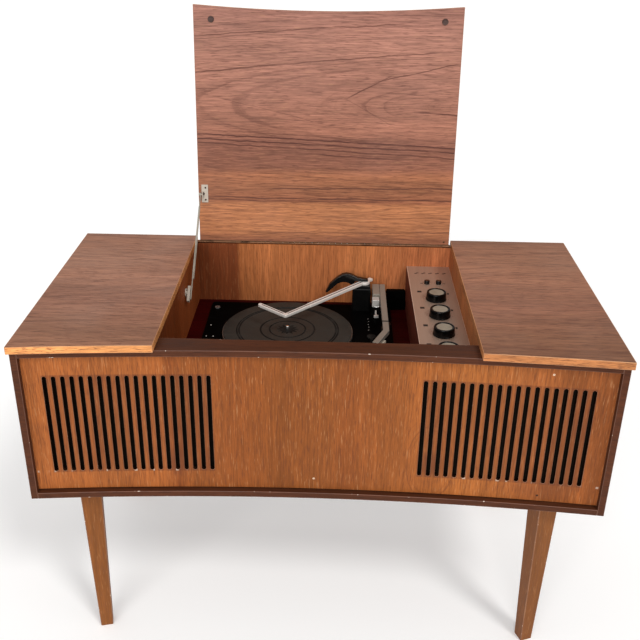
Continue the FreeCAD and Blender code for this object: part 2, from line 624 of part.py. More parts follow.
cloths = []
baffles = []
cones = []
for side, sign in (("left", -1), ("right", 1)):
    turn = "%d * baffle_turn" % -sign
    x = "%d * baffle_x" % sign
    cloths.append(bar("cloth_" + side, "304", "0.7", "216", "%s - 152 * cos(%s)" % (x, turn),
                      "baffle_y - 152 * sin(%s)" % turn, "slot_middle - 108", turn))
    board = block("baffle_board_" + side, "-153", "153", "0.8", "9.7", "floor_top", "rail_bottom")
    spot = "%d * speaker_shift" % sign
    hole = bolt("baffle_opening_" + side, "baffle_hole", spot, "0", "12", "slot_middle")
    baffle = cut("baffle_" + side, board, hole)
    baffles.append(place(baffle, x, "baffle_y", 0, turn))
    seat_x = "%d * (baffle_x + speaker_shift * cos(baffle_turn) + 9.8 * sin(baffle_turn))" % sign
    seat_y = "baffle_y - speaker_shift * sin(baffle_turn) + 9.8 * cos(baffle_turn)"
    frame = turned("speaker_frame_" + side, [
        ("82", "0"), ("speaker_radius", "0"), ("speaker_radius", "2"), ("87", "2"), ("50", "52"),
        ("46", "52"), ("46", "78"), ("0", "78"), ("0", "50"), ("47", "50"), ("82", "3"),
    ])
    part("speaker_" + side, place(frame, seat_x, seat_y, "slot_middle", turn, 0, -90))
    cone = turned("speaker_cone_" + side, [
        ("81.7", "0.5"), ("81.7", "2"), ("77", "2"), ("23", "43"), ("18", "43"), ("18", "49.7"),
        ("16", "49.7"), ("16", "43"), ("0", "43"), ("0", "41.5"), ("22", "41.5"), ("76", "0.5"),
    ])
    cones.append(place(cone, seat_x, seat_y, "slot_middle", turn, 0, -90))
part("grille_cloths", group("cloth_set", *cloths))
part("speaker_baffles", group("baffle_set", *baffles))
part("speaker_cones", group("cone_set", *cones))

# ---------------------------------------------------------------- record deck

sheet_outer = block("plate_outer", "plate_left", "plate_left + plate_width", "plate_front",
                    "plate_front + plate_depth", "plate_top - plate_edge", "plate_top")
sheet_inner = block("plate_inner", "plate_left + plate_sheet", "plate_left + plate_width - plate_sheet",
                    "plate_front + plate_sheet", "plate_front + plate_depth - plate_sheet",
                    "plate_top - plate_edge - 1", "plate_under")
plate_holes = [
    post("plate_hole_%d" % number, "2.8", x, y, "plate_under - 1", "plate_top + 1")
    for number, (x, y) in enumerate(SCREW_SPOTS)
]
plate_holes += [
    post("plate_spindle", "6.2", "platter_x", "platter_y", "plate_under - 1", "plate_top + 1"),
    post("plate_pulley", "pulley_radius + 3", "pulley_x", "pulley_y", "plate_under - 1", "plate_top + 1"),
    post("plate_idler", "2.6", "idler_x", "idler_y", "plate_under - 1", "plate_top + 1"),
    post("plate_pivot", "4 + turning_gap", "arm_x", "arm_y", "plate_under - 1", "plate_top + 1"),
    post("plate_lever", "3 + turning_gap", "104", "50", "plate_under - 1", "plate_top + 1"),
]
part("unit_plate", cut("plate", rounded("plate_round", sheet_outer, 8), sheet_inner, *plate_holes))

springs = []
screws = []
for number, (x, y) in enumerate(SCREW_SPOTS):
    coil = post("spring_coil_%d" % number, "6", x, y, "deck_top", "plate_under")
    eye = post("spring_eye_%d" % number, "3.5", x, y, "deck_top - 1", "plate_under + 1")
    springs.append(cut("spring_%d" % number, coil, eye))
    head = post("screw_head_%d" % number, "5.5", x, y, "plate_top", "plate_top + 2.5")
    shank = post("screw_shank_%d" % number, "2.5", x, y, "deck_bottom - 4", "plate_top + 1")
    screws.append(join("screw_%d" % number, head, shank))
part("deck_springs", group("spring_set", *springs))
part("transit_screws", group("screw_set", *screws))

spindle = turned("spindle_body", [
    ("0", "plate_under - 6"), ("12", "plate_under - 6"), ("12", "plate_under"), ("6", "plate_under"),
    ("6", "plate_top + 2"), ("bearing_radius", "plate_top + 2"), ("bearing_radius", "platter_top + 2.3"),
    ("spindle_radius", "platter_top + 2.3"), ("spindle_radius", "mat_top + spindle_rise - 1.7"),
    ("spindle_radius - 1.5", "mat_top + spindle_rise"), ("0", "mat_top + spindle_rise"),
])
part("spindle", place(spindle, "platter_x", "platter_y"))

platter = turned("platter_body", [
    ("bearing_radius + turning_gap", "plate_top + 2"), ("14", "plate_top + 2"), ("14", "platter_top - 2"),
    ("rim_inner", "platter_top - 2"), ("rim_inner", "plate_top + 3"), ("platter_radius", "plate_top + 3"),
    ("platter_radius", "platter_top"), ("14", "platter_top"), ("14", "platter_top + 2"),
    ("bearing_radius + turning_gap", "platter_top + 2"),
])
part("platter", place(platter, "platter_x", "platter_y"))

groove = "mat_top - 0.9"
mat_points = [("15", "platter_top"), ("mat_radius", "platter_top"), ("mat_radius", "mat_top")]
for share in ("0.79", "0.755", "0.42", "0.28"):
    outer = "mat_radius * %s + 0.9" % share
    inner = "mat_radius * %s - 0.9" % share
    mat_points += [(outer, "mat_top"), (outer, groove), (inner, groove), (inner, "mat_top")]
mat_points.append(("15", "mat_top"))
part("platter_mat", place(turned("mat_body", mat_points), "platter_x", "platter_y"))

motor = block("motor_body", "pulley_x - 35", "pulley_x + 35", "pulley_y - 30", "pulley_y + 30",
              "plate_under - 50", "plate_under")
motor_bore = post("motor_bore", "2.5 + turning_gap", "pulley_x", "pulley_y", "plate_under - 12", "plate_under + 1")
part("deck_motor", cut("motor_cut", motor, motor_bore))
pulley_drum = post("pulley_drum", "pulley_radius", "pulley_x", "pulley_y", "plate_top + 1.5", "plate_top + 8")
pulley_shaft = post("pulley_shaft", "2.5", "pulley_x", "pulley_y", "plate_under - 10", "plate_top + 2")
part("motor_pulley", join("pulley", pulley_drum, pulley_shaft))
idler_disc = post("idler_disc", "idler_radius", "idler_x", "idler_y", "plate_top + 2", "plate_top + 6.5")
idler_hub = post("idler_hub", "5", "idler_x", "idler_y", "plate_top + 0.5", "plate_top + 8")
idler_shaft = post("idler_shaft", "2.5", "idler_x", "idler_y", "plate_under - 4", "plate_top + 2")
part("idler_wheel", join("idler", idler_disc, idler_hub, idler_shaft))

# Tonearm: a yoke that turns on the plate, and an arm that tips on the yoke's cross pin.
yoke_shaft = post("yoke_shaft", "4", "arm_x", "arm_y", "plate_under - 4", "plate_top + 1")
yoke_drum = post("yoke_drum", "11", "arm_x", "arm_y", "plate_top", "arm_axis - 9")
yoke_block = block("yoke_block", "arm_x - 10.5", "bar_left - 1.5", "arm_y - 8.5", "arm_y + 8.5",
                   "arm_axis - 10", "arm_axis + 6")
yoke_bore = axle("yoke_bore", "2 + turning_gap", "arm_x - 12", "bar_left", "arm_y", "arm_axis")
part("tonearm_yoke", cut("yoke", join("yoke_body", yoke_shaft, yoke_drum, yoke_block), yoke_bore))

arm_bar = block("arm_bar", "bar_left", "bar_left + bar_width", "bar_front", "bar_back",
                "bar_bottom", "bar_bottom + bar_height")
arm_lug = block("arm_lug", "bar_left", "bar_left + bar_width", "arm_y - 7", "arm_y + 7",
                "arm_axis - 4", "bar_bottom + 1")
arm_weight = block("arm_weight", "bar_left - 15.5", "bar_left + 3", "bar_back - 53", "bar_back",
                   "bar_bottom - 3", "bar_bottom + bar_height")
weight_groove = block("weight_groove", "bar_left - 0.6", "bar_left + 0.6", "bar_back - 54", "bar_back + 1",
                      "bar_bottom + bar_height - 2", "bar_bottom + bar_height + 1")
arm_pin = axle("arm_pin", "2", "arm_x - 10.5", "bar_left + 2", "arm_y", "arm_axis")
arm_bend = bar("arm_bend", "bar_width", "60", "bar_height", "bar_left + bar_width - bar_width * cos(head_turn)"
               " - 60 * sin(head_turn)", "bar_front + bar_width * sin(head_turn) - 60 * cos(head_turn)",
               "bar_bottom", "-head_turn")
arm_body = join("arm_body", arm_bar, arm_lug, arm_weight, arm_pin, arm_bend)
part("tonearm", cut("arm", arm_body, weight_groove))

# The shell hangs under the bent end of the arm, along the same line.
shell_x = "bar_left + bar_width / 2 - 24 * sin(head_turn)"
shell_y = "bar_front - 24 * cos(head_turn)"
shell_box = block("shell_box", "-9", "9", "-48", "0", "bar_bottom - 13", "bar_bottom")
stylus = fresh("Part::Cone", "stylus")
bind(stylus, Radius1="0.4", Radius2="1.6", Height="6")
place(stylus, 0, -40, "bar_bottom - 19")
part("cartridge_shell", place(join("shell", shell_box, stylus), shell_x, shell_y, 0, "-head_turn"))

rest_post = post("rest_post", "5", "bar_left + bar_width / 2", "22", "plate_top", "bar_bottom - 2")
rest_shelf = block("rest_shelf", "bar_left - 2", "bar_left + bar_width + 3", "16", "28",
                   "bar_bottom - 2.5", "bar_bottom - 0.5")
rest_stop = block("rest_stop", "bar_left + bar_width + 1", "bar_left + bar_width + 3", "16", "28",
                  "bar_bottom - 1", "bar_bottom + bar_height")
part("arm_rest", join("rest", rest_post, rest_shelf, rest_stop))

# Overarm: a post that slides up in the pillar, and a bent arm that swings on the post.
pillar_block = block("pillar_block", "hub_x - 25", "hub_x + 14", "hub_y - 21", "hub_y + 13",
                     "plate_top", "overarm_bottom - 5")
pillar_bore = post("pillar_bore", "5 + turning_gap", "hub_x", "hub_y", "plate_top + 10", "overarm_bottom")
part("overarm_pillar", cut("pillar", rounded("pillar_round", pillar_block, 4), pillar_bore))
post_shaft = post("post_shaft", "5", "hub_x", "hub_y", "plate_top + 11", "overarm_bottom - 4")
post_collar = post("post_collar", "8", "hub_x", "hub_y", "overarm_bottom - 5", "overarm_bottom")
post_pin = post("post_pin", "4", "hub_x", "hub_y", "overarm_bottom - 1", "overarm_bottom + overarm_height")
part("overarm_post", join("post_body", post_shaft, post_collar, post_pin))


def limb(name, x0, y0, x1, y1, spare):
    """One straight limb of the overarm, from its bend to a point and a little past it."""
    turn = "atan2((%s) - (%s); (%s) - (%s))" % (y1, y0, x1, x0)
    length = "sqrt(((%s) - (%s))^2 + ((%s) - (%s))^2) + %s" % (x1, x0, y1, y0, spare)
    return bar(name, length, "overarm_width", "overarm_height",
               "%s + overarm_width / 2 * sin(%s)" % (x0, turn),
               "%s - overarm_width / 2 * cos(%s)" % (y0, turn), "overarm_bottom", turn)


OVER_TOP = "overarm_bottom + overarm_height"
overarm_pieces = [
    limb("limb_long", "elbow_x", "elbow_y", "hub_x", "hub_y", "23"),
    limb("limb_short", "elbow_x", "elbow_y", "tip_x", "tip_y", "0"),
    post("limb_elbow", "overarm_width / 2", "elbow_x", "elbow_y", "overarm_bottom", OVER_TOP),
    post("limb_tip", "overarm_width / 2", "tip_x", "tip_y", "overarm_bottom", OVER_TOP),
    post("limb_hub", "12", "hub_x", "hub_y", "overarm_bottom", OVER_TOP),
]
hub_bore = post("hub_bore", "4 + turning_gap", "hub_x", "hub_y", "overarm_bottom - 1", OVER_TOP + " + 1")
part("overarm", cut("overarm_cut", join("overarm_body", *overarm_pieces), hub_bore))

handle = padded("handle_body", "XZ_Plane", [
    ("-83", "-21"), ("-74", "-2"), ("-59", "13"), ("-47", "21"), ("-38", "23"), ("-28", "21"),
    ("-14", "14"), ("8", "10"), ("8", "6"), ("-18", "6"), ("-26", "-2"), ("-37", "3"), ("-46", "4"),
    ("-57", "0"), ("-68", "-11"), ("-78", "-21"),
], "12")
part("overarm_handle", place(handle, "hub_x", "hub_y + 1", "overarm_bottom"))

lever_shaft = post("lever_shaft", "3", "104", "50", "plate_under - 3", "plate_top + 1")
lever_disc = post("lever_disc", "9", "104", "50", "plate_top", "plate_top + 3")
lever_blade = block("lever_blade", "101", "107", "18", "50", "plate_top + 1", "plate_top + 3")
lever_grip = post("lever_grip", "3.5", "104", "21", "plate_top + 1", "plate_top + 11")
part("speed_lever", join("lever", lever_shaft, lever_disc, lever_blade, lever_grip))

# ---------------------------------------------------------------- check and write

doc.recompute()
faults = []
for item in doc.Objects:
    if "Invalid" in item.State or "Error" in item.State:
        faults.append("%s (%s): %s" % (item.Name, item.Label, item.State))
for node, item in parts.items():
    if item.Shape.isNull() or not item.Shape.isValid() or not item.Shape.Solids:
        faults.append("%s: no valid solid" % node)
if faults:
    raise RuntimeError("; ".join(faults))

os.makedirs("parts", exist_ok=True)
for node, item in parts.items():
    item.Shape.exportStep("parts/%s.step" % node)
print("wrote", len(parts), "parts")
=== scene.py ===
"""Finishes and fine parts of a radio phonograph console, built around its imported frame."""
import json
import logging
import math
from dataclasses import dataclass, field, replace
from enum import Enum
from typing import Callable, Optional, Sequence, Union

import bmesh
import bpy
from mathutils import Matrix, Vector
from mathutils.bvhtree import BVHTree

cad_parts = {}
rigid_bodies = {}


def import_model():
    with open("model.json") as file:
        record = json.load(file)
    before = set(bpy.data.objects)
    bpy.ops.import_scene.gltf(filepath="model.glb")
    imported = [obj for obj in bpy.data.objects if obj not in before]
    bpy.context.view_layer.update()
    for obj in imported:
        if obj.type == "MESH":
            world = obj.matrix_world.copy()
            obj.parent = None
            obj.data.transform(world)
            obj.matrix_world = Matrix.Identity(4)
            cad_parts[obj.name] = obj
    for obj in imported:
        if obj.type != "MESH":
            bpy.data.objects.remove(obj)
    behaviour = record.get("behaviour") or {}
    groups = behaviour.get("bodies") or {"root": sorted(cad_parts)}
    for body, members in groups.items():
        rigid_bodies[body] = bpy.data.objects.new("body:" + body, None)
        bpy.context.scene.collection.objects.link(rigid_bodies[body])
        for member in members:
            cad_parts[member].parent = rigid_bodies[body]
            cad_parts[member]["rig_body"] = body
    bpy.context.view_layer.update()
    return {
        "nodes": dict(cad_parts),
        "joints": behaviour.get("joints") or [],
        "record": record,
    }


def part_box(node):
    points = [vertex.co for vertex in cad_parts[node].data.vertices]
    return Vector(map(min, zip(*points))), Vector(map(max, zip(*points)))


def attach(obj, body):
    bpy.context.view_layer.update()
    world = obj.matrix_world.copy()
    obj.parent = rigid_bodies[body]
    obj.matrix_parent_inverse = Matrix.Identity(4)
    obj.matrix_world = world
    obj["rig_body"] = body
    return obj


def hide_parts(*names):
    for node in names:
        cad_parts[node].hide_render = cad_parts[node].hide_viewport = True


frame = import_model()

MM = 0.001
LOG = logging.getLogger("console")

Colour = tuple[float, float, float]
Stops = tuple[tuple[float, Colour], ...]
Socket = bpy.types.NodeSocket
Value = Union[float, Colour, Socket]
Object = bpy.types.Object
Shape = bmesh.types.BMesh
Profile = Sequence[tuple[float, float, int]]
FaceRule = Callable[[Vector, Vector], int]


# ------------------------------------------------------------------ shader writing


class Grain(Enum):
    """How a board lies: the axis numbers along its fibres, across them and through it."""

    FLAT = (0, 1, 2)
    UPRIGHT = (0, 2, 1)
    STANDING = (2, 0, 1)
    SIDEWALL = (2, 1, 0)


class Lay(Enum):
    """Which way a metal face was worked, as noise cells along the three axes."""

    ALONG_Y = (60.0, 1.0, 60.0)
    ROUGH = (8.0, 8.0, 8.0)


class Graph:
    """Writes the nodes of one material."""

    def __init__(self, name: str) -> None:
        """Starts an empty material with one Principled shader.

        Args:
            name: the material's name.
        """
        self.material = bpy.data.materials.new(name)
        self.material.use_nodes = True
        self.tree = self.material.node_tree
        self.tree.nodes.clear()
        self.shader = self.add("ShaderNodeBsdfPrincipled")
        output = self.add("ShaderNodeOutputMaterial")
        self.tree.links.new(self.shader.outputs[0], output.inputs[0])
        self.coords = self.add("ShaderNodeTexCoord").outputs["Object"]

    def add(self, kind: str, sockets: Optional[dict] = None, **settings: object) -> bpy.types.Node:
        """Adds a node.

        Args:
            kind: the node's class name.
            sockets: input name or number to a constant or a socket to link.
            settings: the node's own properties.

        Returns:
            The node.
        """
        node = self.tree.nodes.new(kind)
        for key, value in settings.items():
            setattr(node, key, value)
        for key, value in (sockets or {}).items():
            self.feed(node.inputs[key], value)
        return node

    def feed(self, target: Socket, value: Value) -> None:
        """Sets or links one input.

        Args:
            target: the input socket.
            value: a constant, or an output socket to link.
        """
        if isinstance(value, bpy.types.NodeSocket):
            self.tree.links.new(value, target)
        elif isinstance(value, tuple) and target.type == "RGBA":
            target.default_value = (*value, 1.0)
        else:
            target.default_value = value

    def surface(self, **values: Value) -> None:
        """Feeds the Principled shader's inputs, named with underscores for spaces."""
        for key, value in values.items():
            self.feed(self.shader.inputs[key.replace("_", " ")], value)

    def calc(self, operation: str, *terms: Value, clamp: bool = False) -> Socket:
        """Adds a Math node and returns its socket."""
        node = self.add("ShaderNodeMath", dict(enumerate(terms)), operation=operation, use_clamp=clamp)
        return node.outputs[0]

    def scaled(self, value: Value, factor: Value, offset: Value) -> Socket:
        """Returns value * factor + offset."""
        return self.calc("MULTIPLY_ADD", value, factor, offset)

    def times(self, first: Value, second: Value) -> Socket:
        """Returns the product of two numbers."""
        return self.calc("MULTIPLY", first, second)

    def plus(self, first: Value, second: Value) -> Socket:
        """Returns the sum of two numbers."""
        return self.calc("ADD", first, second)

    def minus(self, first: Value, second: Value) -> Socket:
        """Returns the first number less the second."""
        return self.calc("SUBTRACT", first, second)

    def apart(self, first: Value, second: Value) -> Socket:
        """Returns how far apart two numbers are."""
        return self.calc("ABSOLUTE", self.minus(first, second))

    def span(self, value: Value, low: float, high: float, start: float = 0.0, end: float = 1.0) -> Socket:
        """Maps low..high smoothly onto start..end, clamped, and returns its socket."""
        sockets = {0: value, 1: low, 2: high, 3: start, 4: end}
        return self.add("ShaderNodeMapRange", sockets, interpolation_type="SMOOTHSTEP").outputs[0]

    def vector(self, x: Value, y: Value, z: Value) -> Socket:
        """Joins three numbers into a vector and returns its socket."""
        return self.add("ShaderNodeCombineXYZ", {0: x, 1: y, 2: z}).outputs[0]

    def stretched(self, source: Socket, scale: Colour) -> Socket:
        """Multiplies a vector, component by component, and returns its socket."""
        node = self.add("ShaderNodeVectorMath", {0: source, 1: scale}, operation="MULTIPLY")
        return node.outputs[0]

    def noise(self, source: Socket, scale: float, detail: float = 2.0, roughness: float = 0.5) -> Socket:
        """Returns cloud noise from 0 to 1, with scale cells per unit of the source."""
        sockets = {"Vector": source, "Scale": scale, "Detail": detail, "Roughness": roughness}
        return self.add("ShaderNodeTexNoise", sockets).outputs[0]

    def fibrous(self, source: Socket, along: float, across: float, detail: float = 3.0,
                roughness: float = 0.6) -> Socket:
        """Returns noise drawn out along a board's fibres, in cells per metre along and across them."""
        return self.noise(self.stretched(source, (along, across, across)), 1.0, detail, roughness)

    def distance(self, centre: tuple[float, float]) -> Socket:
        """Distance from an upright axis.

        Args:
            centre: the axis, as x and y in metres.

        Returns:
            The distance's socket, in metres.
        """
        shifted = self.add("ShaderNodeVectorMath", {0: self.coords, 1: (*centre, 0.0)}, operation="SUBTRACT")
        split = self.add("ShaderNodeSeparateXYZ", {0: shifted.outputs[0]})
        flat = self.vector(split.outputs[0], split.outputs[1], 0.0)
        return self.add("ShaderNodeVectorMath", {0: flat}, operation="LENGTH").outputs["Value"]

    def line_noise(self, number: Socket, detail: float = 3.0, roughness: float = 0.6) -> Socket:
        """Noise along a single number, as in growth rings, from 0 to 1."""
        sockets = {"W": number, "Scale": 1.0, "Detail": detail, "Roughness": roughness}
        return self.add("ShaderNodeTexNoise", sockets, noise_dimensions="1D").outputs[0]

    def ramp(self, value: Socket, stops: Stops) -> Socket:
        """A colour ramp.

        Args:
            value: the place on the ramp, from 0 to 1.
            stops: places from 0 to 1 with their colours, in order.

        Returns:
            The colour's socket.
        """
        node = self.add("ShaderNodeValToRGB", {0: value})
        elements = node.color_ramp.elements
        elements[0].color = (*stops[0][1], 1.0)
        elements[1].color = (*stops[-1][1], 1.0)
        for place, colour in stops[1:-1]:
            elements.new(place).color = (*colour, 1.0)
        return node.outputs[0]

    def mixed(self, share: Value, first: Value, second: Value) -> Socket:
        """Mixes two colours by the share of the second and returns its socket."""
        return self.add("ShaderNodeMix", {0: share, 6: first, 7: second}, data_type="RGBA").outputs[2]

    def shaded(self, colour: Value, factor: Socket) -> Socket:
        """Multiplies a colour by a number and returns its socket."""
        node = self.add("ShaderNodeVectorMath", {0: colour, "Scale": factor}, operation="SCALE")
        return node.outputs[0]

    def swing(self, value: Socket, amount: float) -> Socket:
        """Turns noise from 0 to 1 into a factor of 1 plus or minus an amount."""
        return self.scaled(value, 2.0 * amount, 1.0 - amount)

    def relief(self, height: Socket, depth: float, strength: float = 1.0) -> None:
        """Bumps the surface by a height from 0 to 1, where 1 stands for the depth in metres."""
        sockets = {"Height": height, "Distance": depth, "Strength": strength}
        self.surface(Normal=self.add("ShaderNodeBump", sockets).outputs[0])


class Finish:
    """A finish that makes its material once."""

    name: str

    def write(self, graph: Graph) -> None:
        """Writes the finish's nodes; each finish has its own."""
        raise NotImplementedError

    def material(self) -> bpy.types.Material:
        """Returns the finish's material, made the first time it is asked for."""
        found = bpy.data.materials.get("finish_" + self.name)
        if found is None:
            graph = Graph("finish_" + self.name)
            self.write(graph)
            found = graph.material
        return found


@dataclass(frozen=True)
class Heart:
    """Where the tree's heart lies beside a board, which gives the veneer its arches.

    Args:
        along: where the arches point, in metres along the fibres.
        across: the arches' middle line, in metres across the fibres.
        slope: how fast the heart leaves the board.
        pitch: growth lines per metre.
        depth: how dark the lines are.
        reach: how sharp the lines are, as noise limits.
        spread: how far from the heart the lines fade away, in metres.
    """

    along: float
    across: float
    slope: float = 0.18
    pitch: float = 60.0
    depth: float = 0.4
    reach: tuple[float, float] = (0.58, 0.66)
    spread: float = 5.0


@dataclass(frozen=True)
class Vein:
    """One dark mineral line in a veneer.

    Args:
        start: its start, in metres along and across the fibres.
        end: its end.
        width: half its width, in metres.
        depth: how dark it is.
    """

    start: tuple[float, float]
    end: tuple[float, float]
    width: float = 0.0012
    depth: float = 0.6


@dataclass(frozen=True)
class Knot:
    """A dark patch in a veneer.

    Args:
        along: its middle along the fibres, in metres.
        across: its middle across the fibres, in metres.
        length: its half length along the fibres, in metres.
        width: its half width, in metres.
        depth: how dark it is.
    """

    along: float
    across: float
    length: float
    width: float
    depth: float


@dataclass(frozen=True)
class Slots:
    """Rows of slots whose edges get painted shade.

    Args:
        first: the first slot's distance from the middle, in metres.
        last: the last slot's distance from the middle, in metres.
        pitch: their spacing, in metres.
        half: half a slot's width, in metres.
        low: their lower end, in metres along the fibres.
        high: their upper end, in metres along the fibres.
    """

    first: float
    last: float
    pitch: float
    half: float
    low: float
    high: float


BAND_STRAY = 6.0 * MM
VEIN_STRAY = 5.0 * MM
VEIN_FADE = 30.0 * MM
FIBRE_CELLS = ((2.5, 22.0), (5.0, 130.0), (20.0, 460.0))
PORE_CELLS = (42.0, 560.0)
CHIP_COLOUR = (0.62, 0.50, 0.40)


@dataclass
class Board:
    """A veneered board while its shader is written.

    Args:
        graph: its material's nodes.
        along: the number along the fibres, in metres.
        across: the number across them, as they wander.
        straight: the number across them, without their wandering.
        line: the colour of dark lines.
        colour: the colour so far.
    """

    graph: Graph
    along: Socket
    across: Socket
    straight: Socket
    line: Colour
    colour: Socket

    def darken(self, share: Socket) -> None:
        """Mixes in the colour of dark lines."""
        self.colour = self.graph.mixed(share, self.colour, self.line)

    def arches(self, heart: Heart) -> None:
        """Draws the growth lines round the heart.

        Args:
            heart: where the tree's heart lies.
        """
        graph, along, across = self.graph, self.along, self.across
        rise = graph.times(graph.minus(along, heart.along), heart.slope)
        side = graph.minus(across, heart.across)
        squares = graph.plus(graph.times(rise, rise), graph.times(side, side))
        length = graph.calc("SQRT", squares)
        near = graph.span(length, 0.6 * heart.spread, heart.spread, 1.0, 0.0)
        distance = graph.times(length, heart.pitch)
        wander = graph.noise(graph.stretched(graph.vector(along, across, 0.0), (1.0, 2.0, 1.0)), 14.0, 5.0, 0.62)
        rings = graph.line_noise(graph.scaled(wander, 0.9, distance), 5.0, 0.72)
        fade = graph.span(graph.noise(graph.vector(along, across, 0.0), 9.0, 3.0), 0.35, 0.6, 0.15, 1.0)
        soft = graph.span(rings, heart.reach[0] - 0.16, heart.reach[1], 0.0, 0.35 * heart.depth)
        sharp = graph.span(rings, heart.reach[0], heart.reach[1], 0.0, heart.depth)
        fade = graph.times(fade, near)
        self.darken(graph.times(soft, near))
        self.darken(graph.times(sharp, fade))

    def drawn(self, veins: Sequence[Vein]) -> None:
        """Draws the dark mineral lines.

        Args:
            veins: the lines.
        """
        graph, along, across = self.graph, self.along, self.across
        flat = graph.vector(along, across, 0.0)
        wander = graph.noise(graph.stretched(flat, (12.0, 5.0, 1.0)), 1.0, 4.0, 0.6)
        strayed = graph.plus(across, graph.scaled(wander, 2.0 * VEIN_STRAY, -VEIN_STRAY))
        gaps = graph.noise(graph.stretched(flat, (26.0, 90.0, 1.0)), 1.0, 3.0)
        breaks = graph.span(gaps, 0.30, 0.48, 0.5, 1.0)
        total: Value = 0.0
        for vein in veins:
            (left, left_height), (right, right_height) = vein.start, vein.end
            slope = (right_height - left_height) / (right - left)
            course = graph.scaled(along, slope, left_height - slope * left)
            gap = graph.apart(strayed, course)
            ink = graph.span(gap, 0.35 * vein.width, 1.15 * vein.width, vein.depth, 0.0)
            reach = graph.apart(along, (left + right) / 2)
            half = abs(right - left) / 2
            ink = graph.times(ink, graph.span(reach, half, half + VEIN_FADE, 1.0, 0.0))
            total = graph.calc("MAXIMUM", total, ink)
        self.darken(graph.times(total, breaks))

    def knotted(self, knot: Knot) -> None:
        """Darkens one patch.

        Args:
            knot: the patch.
        """
        graph, along, across = self.graph, self.along, self.across
        first = graph.scaled(along, 1.0 / knot.length, -knot.along / knot.length)
        second = graph.scaled(across, 1.0 / knot.width, -knot.across / knot.width)
        squares = graph.plus(graph.times(first, first), graph.times(second, second))
        cloud = graph.noise(graph.vector(along, across, 0.0), 60.0, 4.0, 0.65)
        squares = graph.plus(squares, graph.scaled(cloud, 1.6, -0.8))
        self.darken(graph.span(squares, 0.0, 1.3, knot.depth, 0.0))

    def rubbed(self, slots: Slots) -> None:
        """Paints shade along the edges of the slots and chips their feet.

        Args:
            slots: the rows of slots.
        """
        graph, along, across = self.graph, self.along, self.straight
        side = graph.calc("ABSOLUTE", across)
        count = graph.calc("DIVIDE", graph.minus(side, slots.first), slots.pitch)
        gap = graph.apart(count, graph.calc("ROUND", count))
        away = graph.times(gap, slots.pitch)
        # Painted shade: darkening along each slot's edges, where the slats fall into shade.
        edge = graph.span(away, slots.half, slots.half + 2.6 * MM, 0.62, 0.34)
        within = graph.span(side, slots.first - slots.pitch * 0.45, slots.first - slots.pitch * 0.2)
        beyond = graph.span(side, slots.last + slots.pitch * 0.2, slots.last + slots.pitch * 0.45, 1.0, 0.0)
        half = (slots.high - slots.low) / 2
        height = graph.apart(along, (slots.low + slots.high) / 2)
        ends = graph.span(height, half + 1.0 * MM, half + 4.0 * MM, 1.0, 0.0)
        self.darken(graph.times(graph.times(edge, within), graph.times(beyond, ends)))
        foot = graph.span(graph.apart(along, slots.low), 1.2 * MM, 3.0 * MM, 1.0, 0.0)
        lip = graph.span(away, slots.half, slots.half + 1.2 * MM, 1.0, 0.0)
        chance = graph.span(graph.noise(graph.vector(across, 0.0, 0.0), 70.0, 1.0), 0.57, 0.63)
        chip = graph.times(graph.times(foot, lip), graph.times(chance, within))
        self.colour = graph.mixed(graph.times(chip, 0.55), self.colour, CHIP_COLOUR)


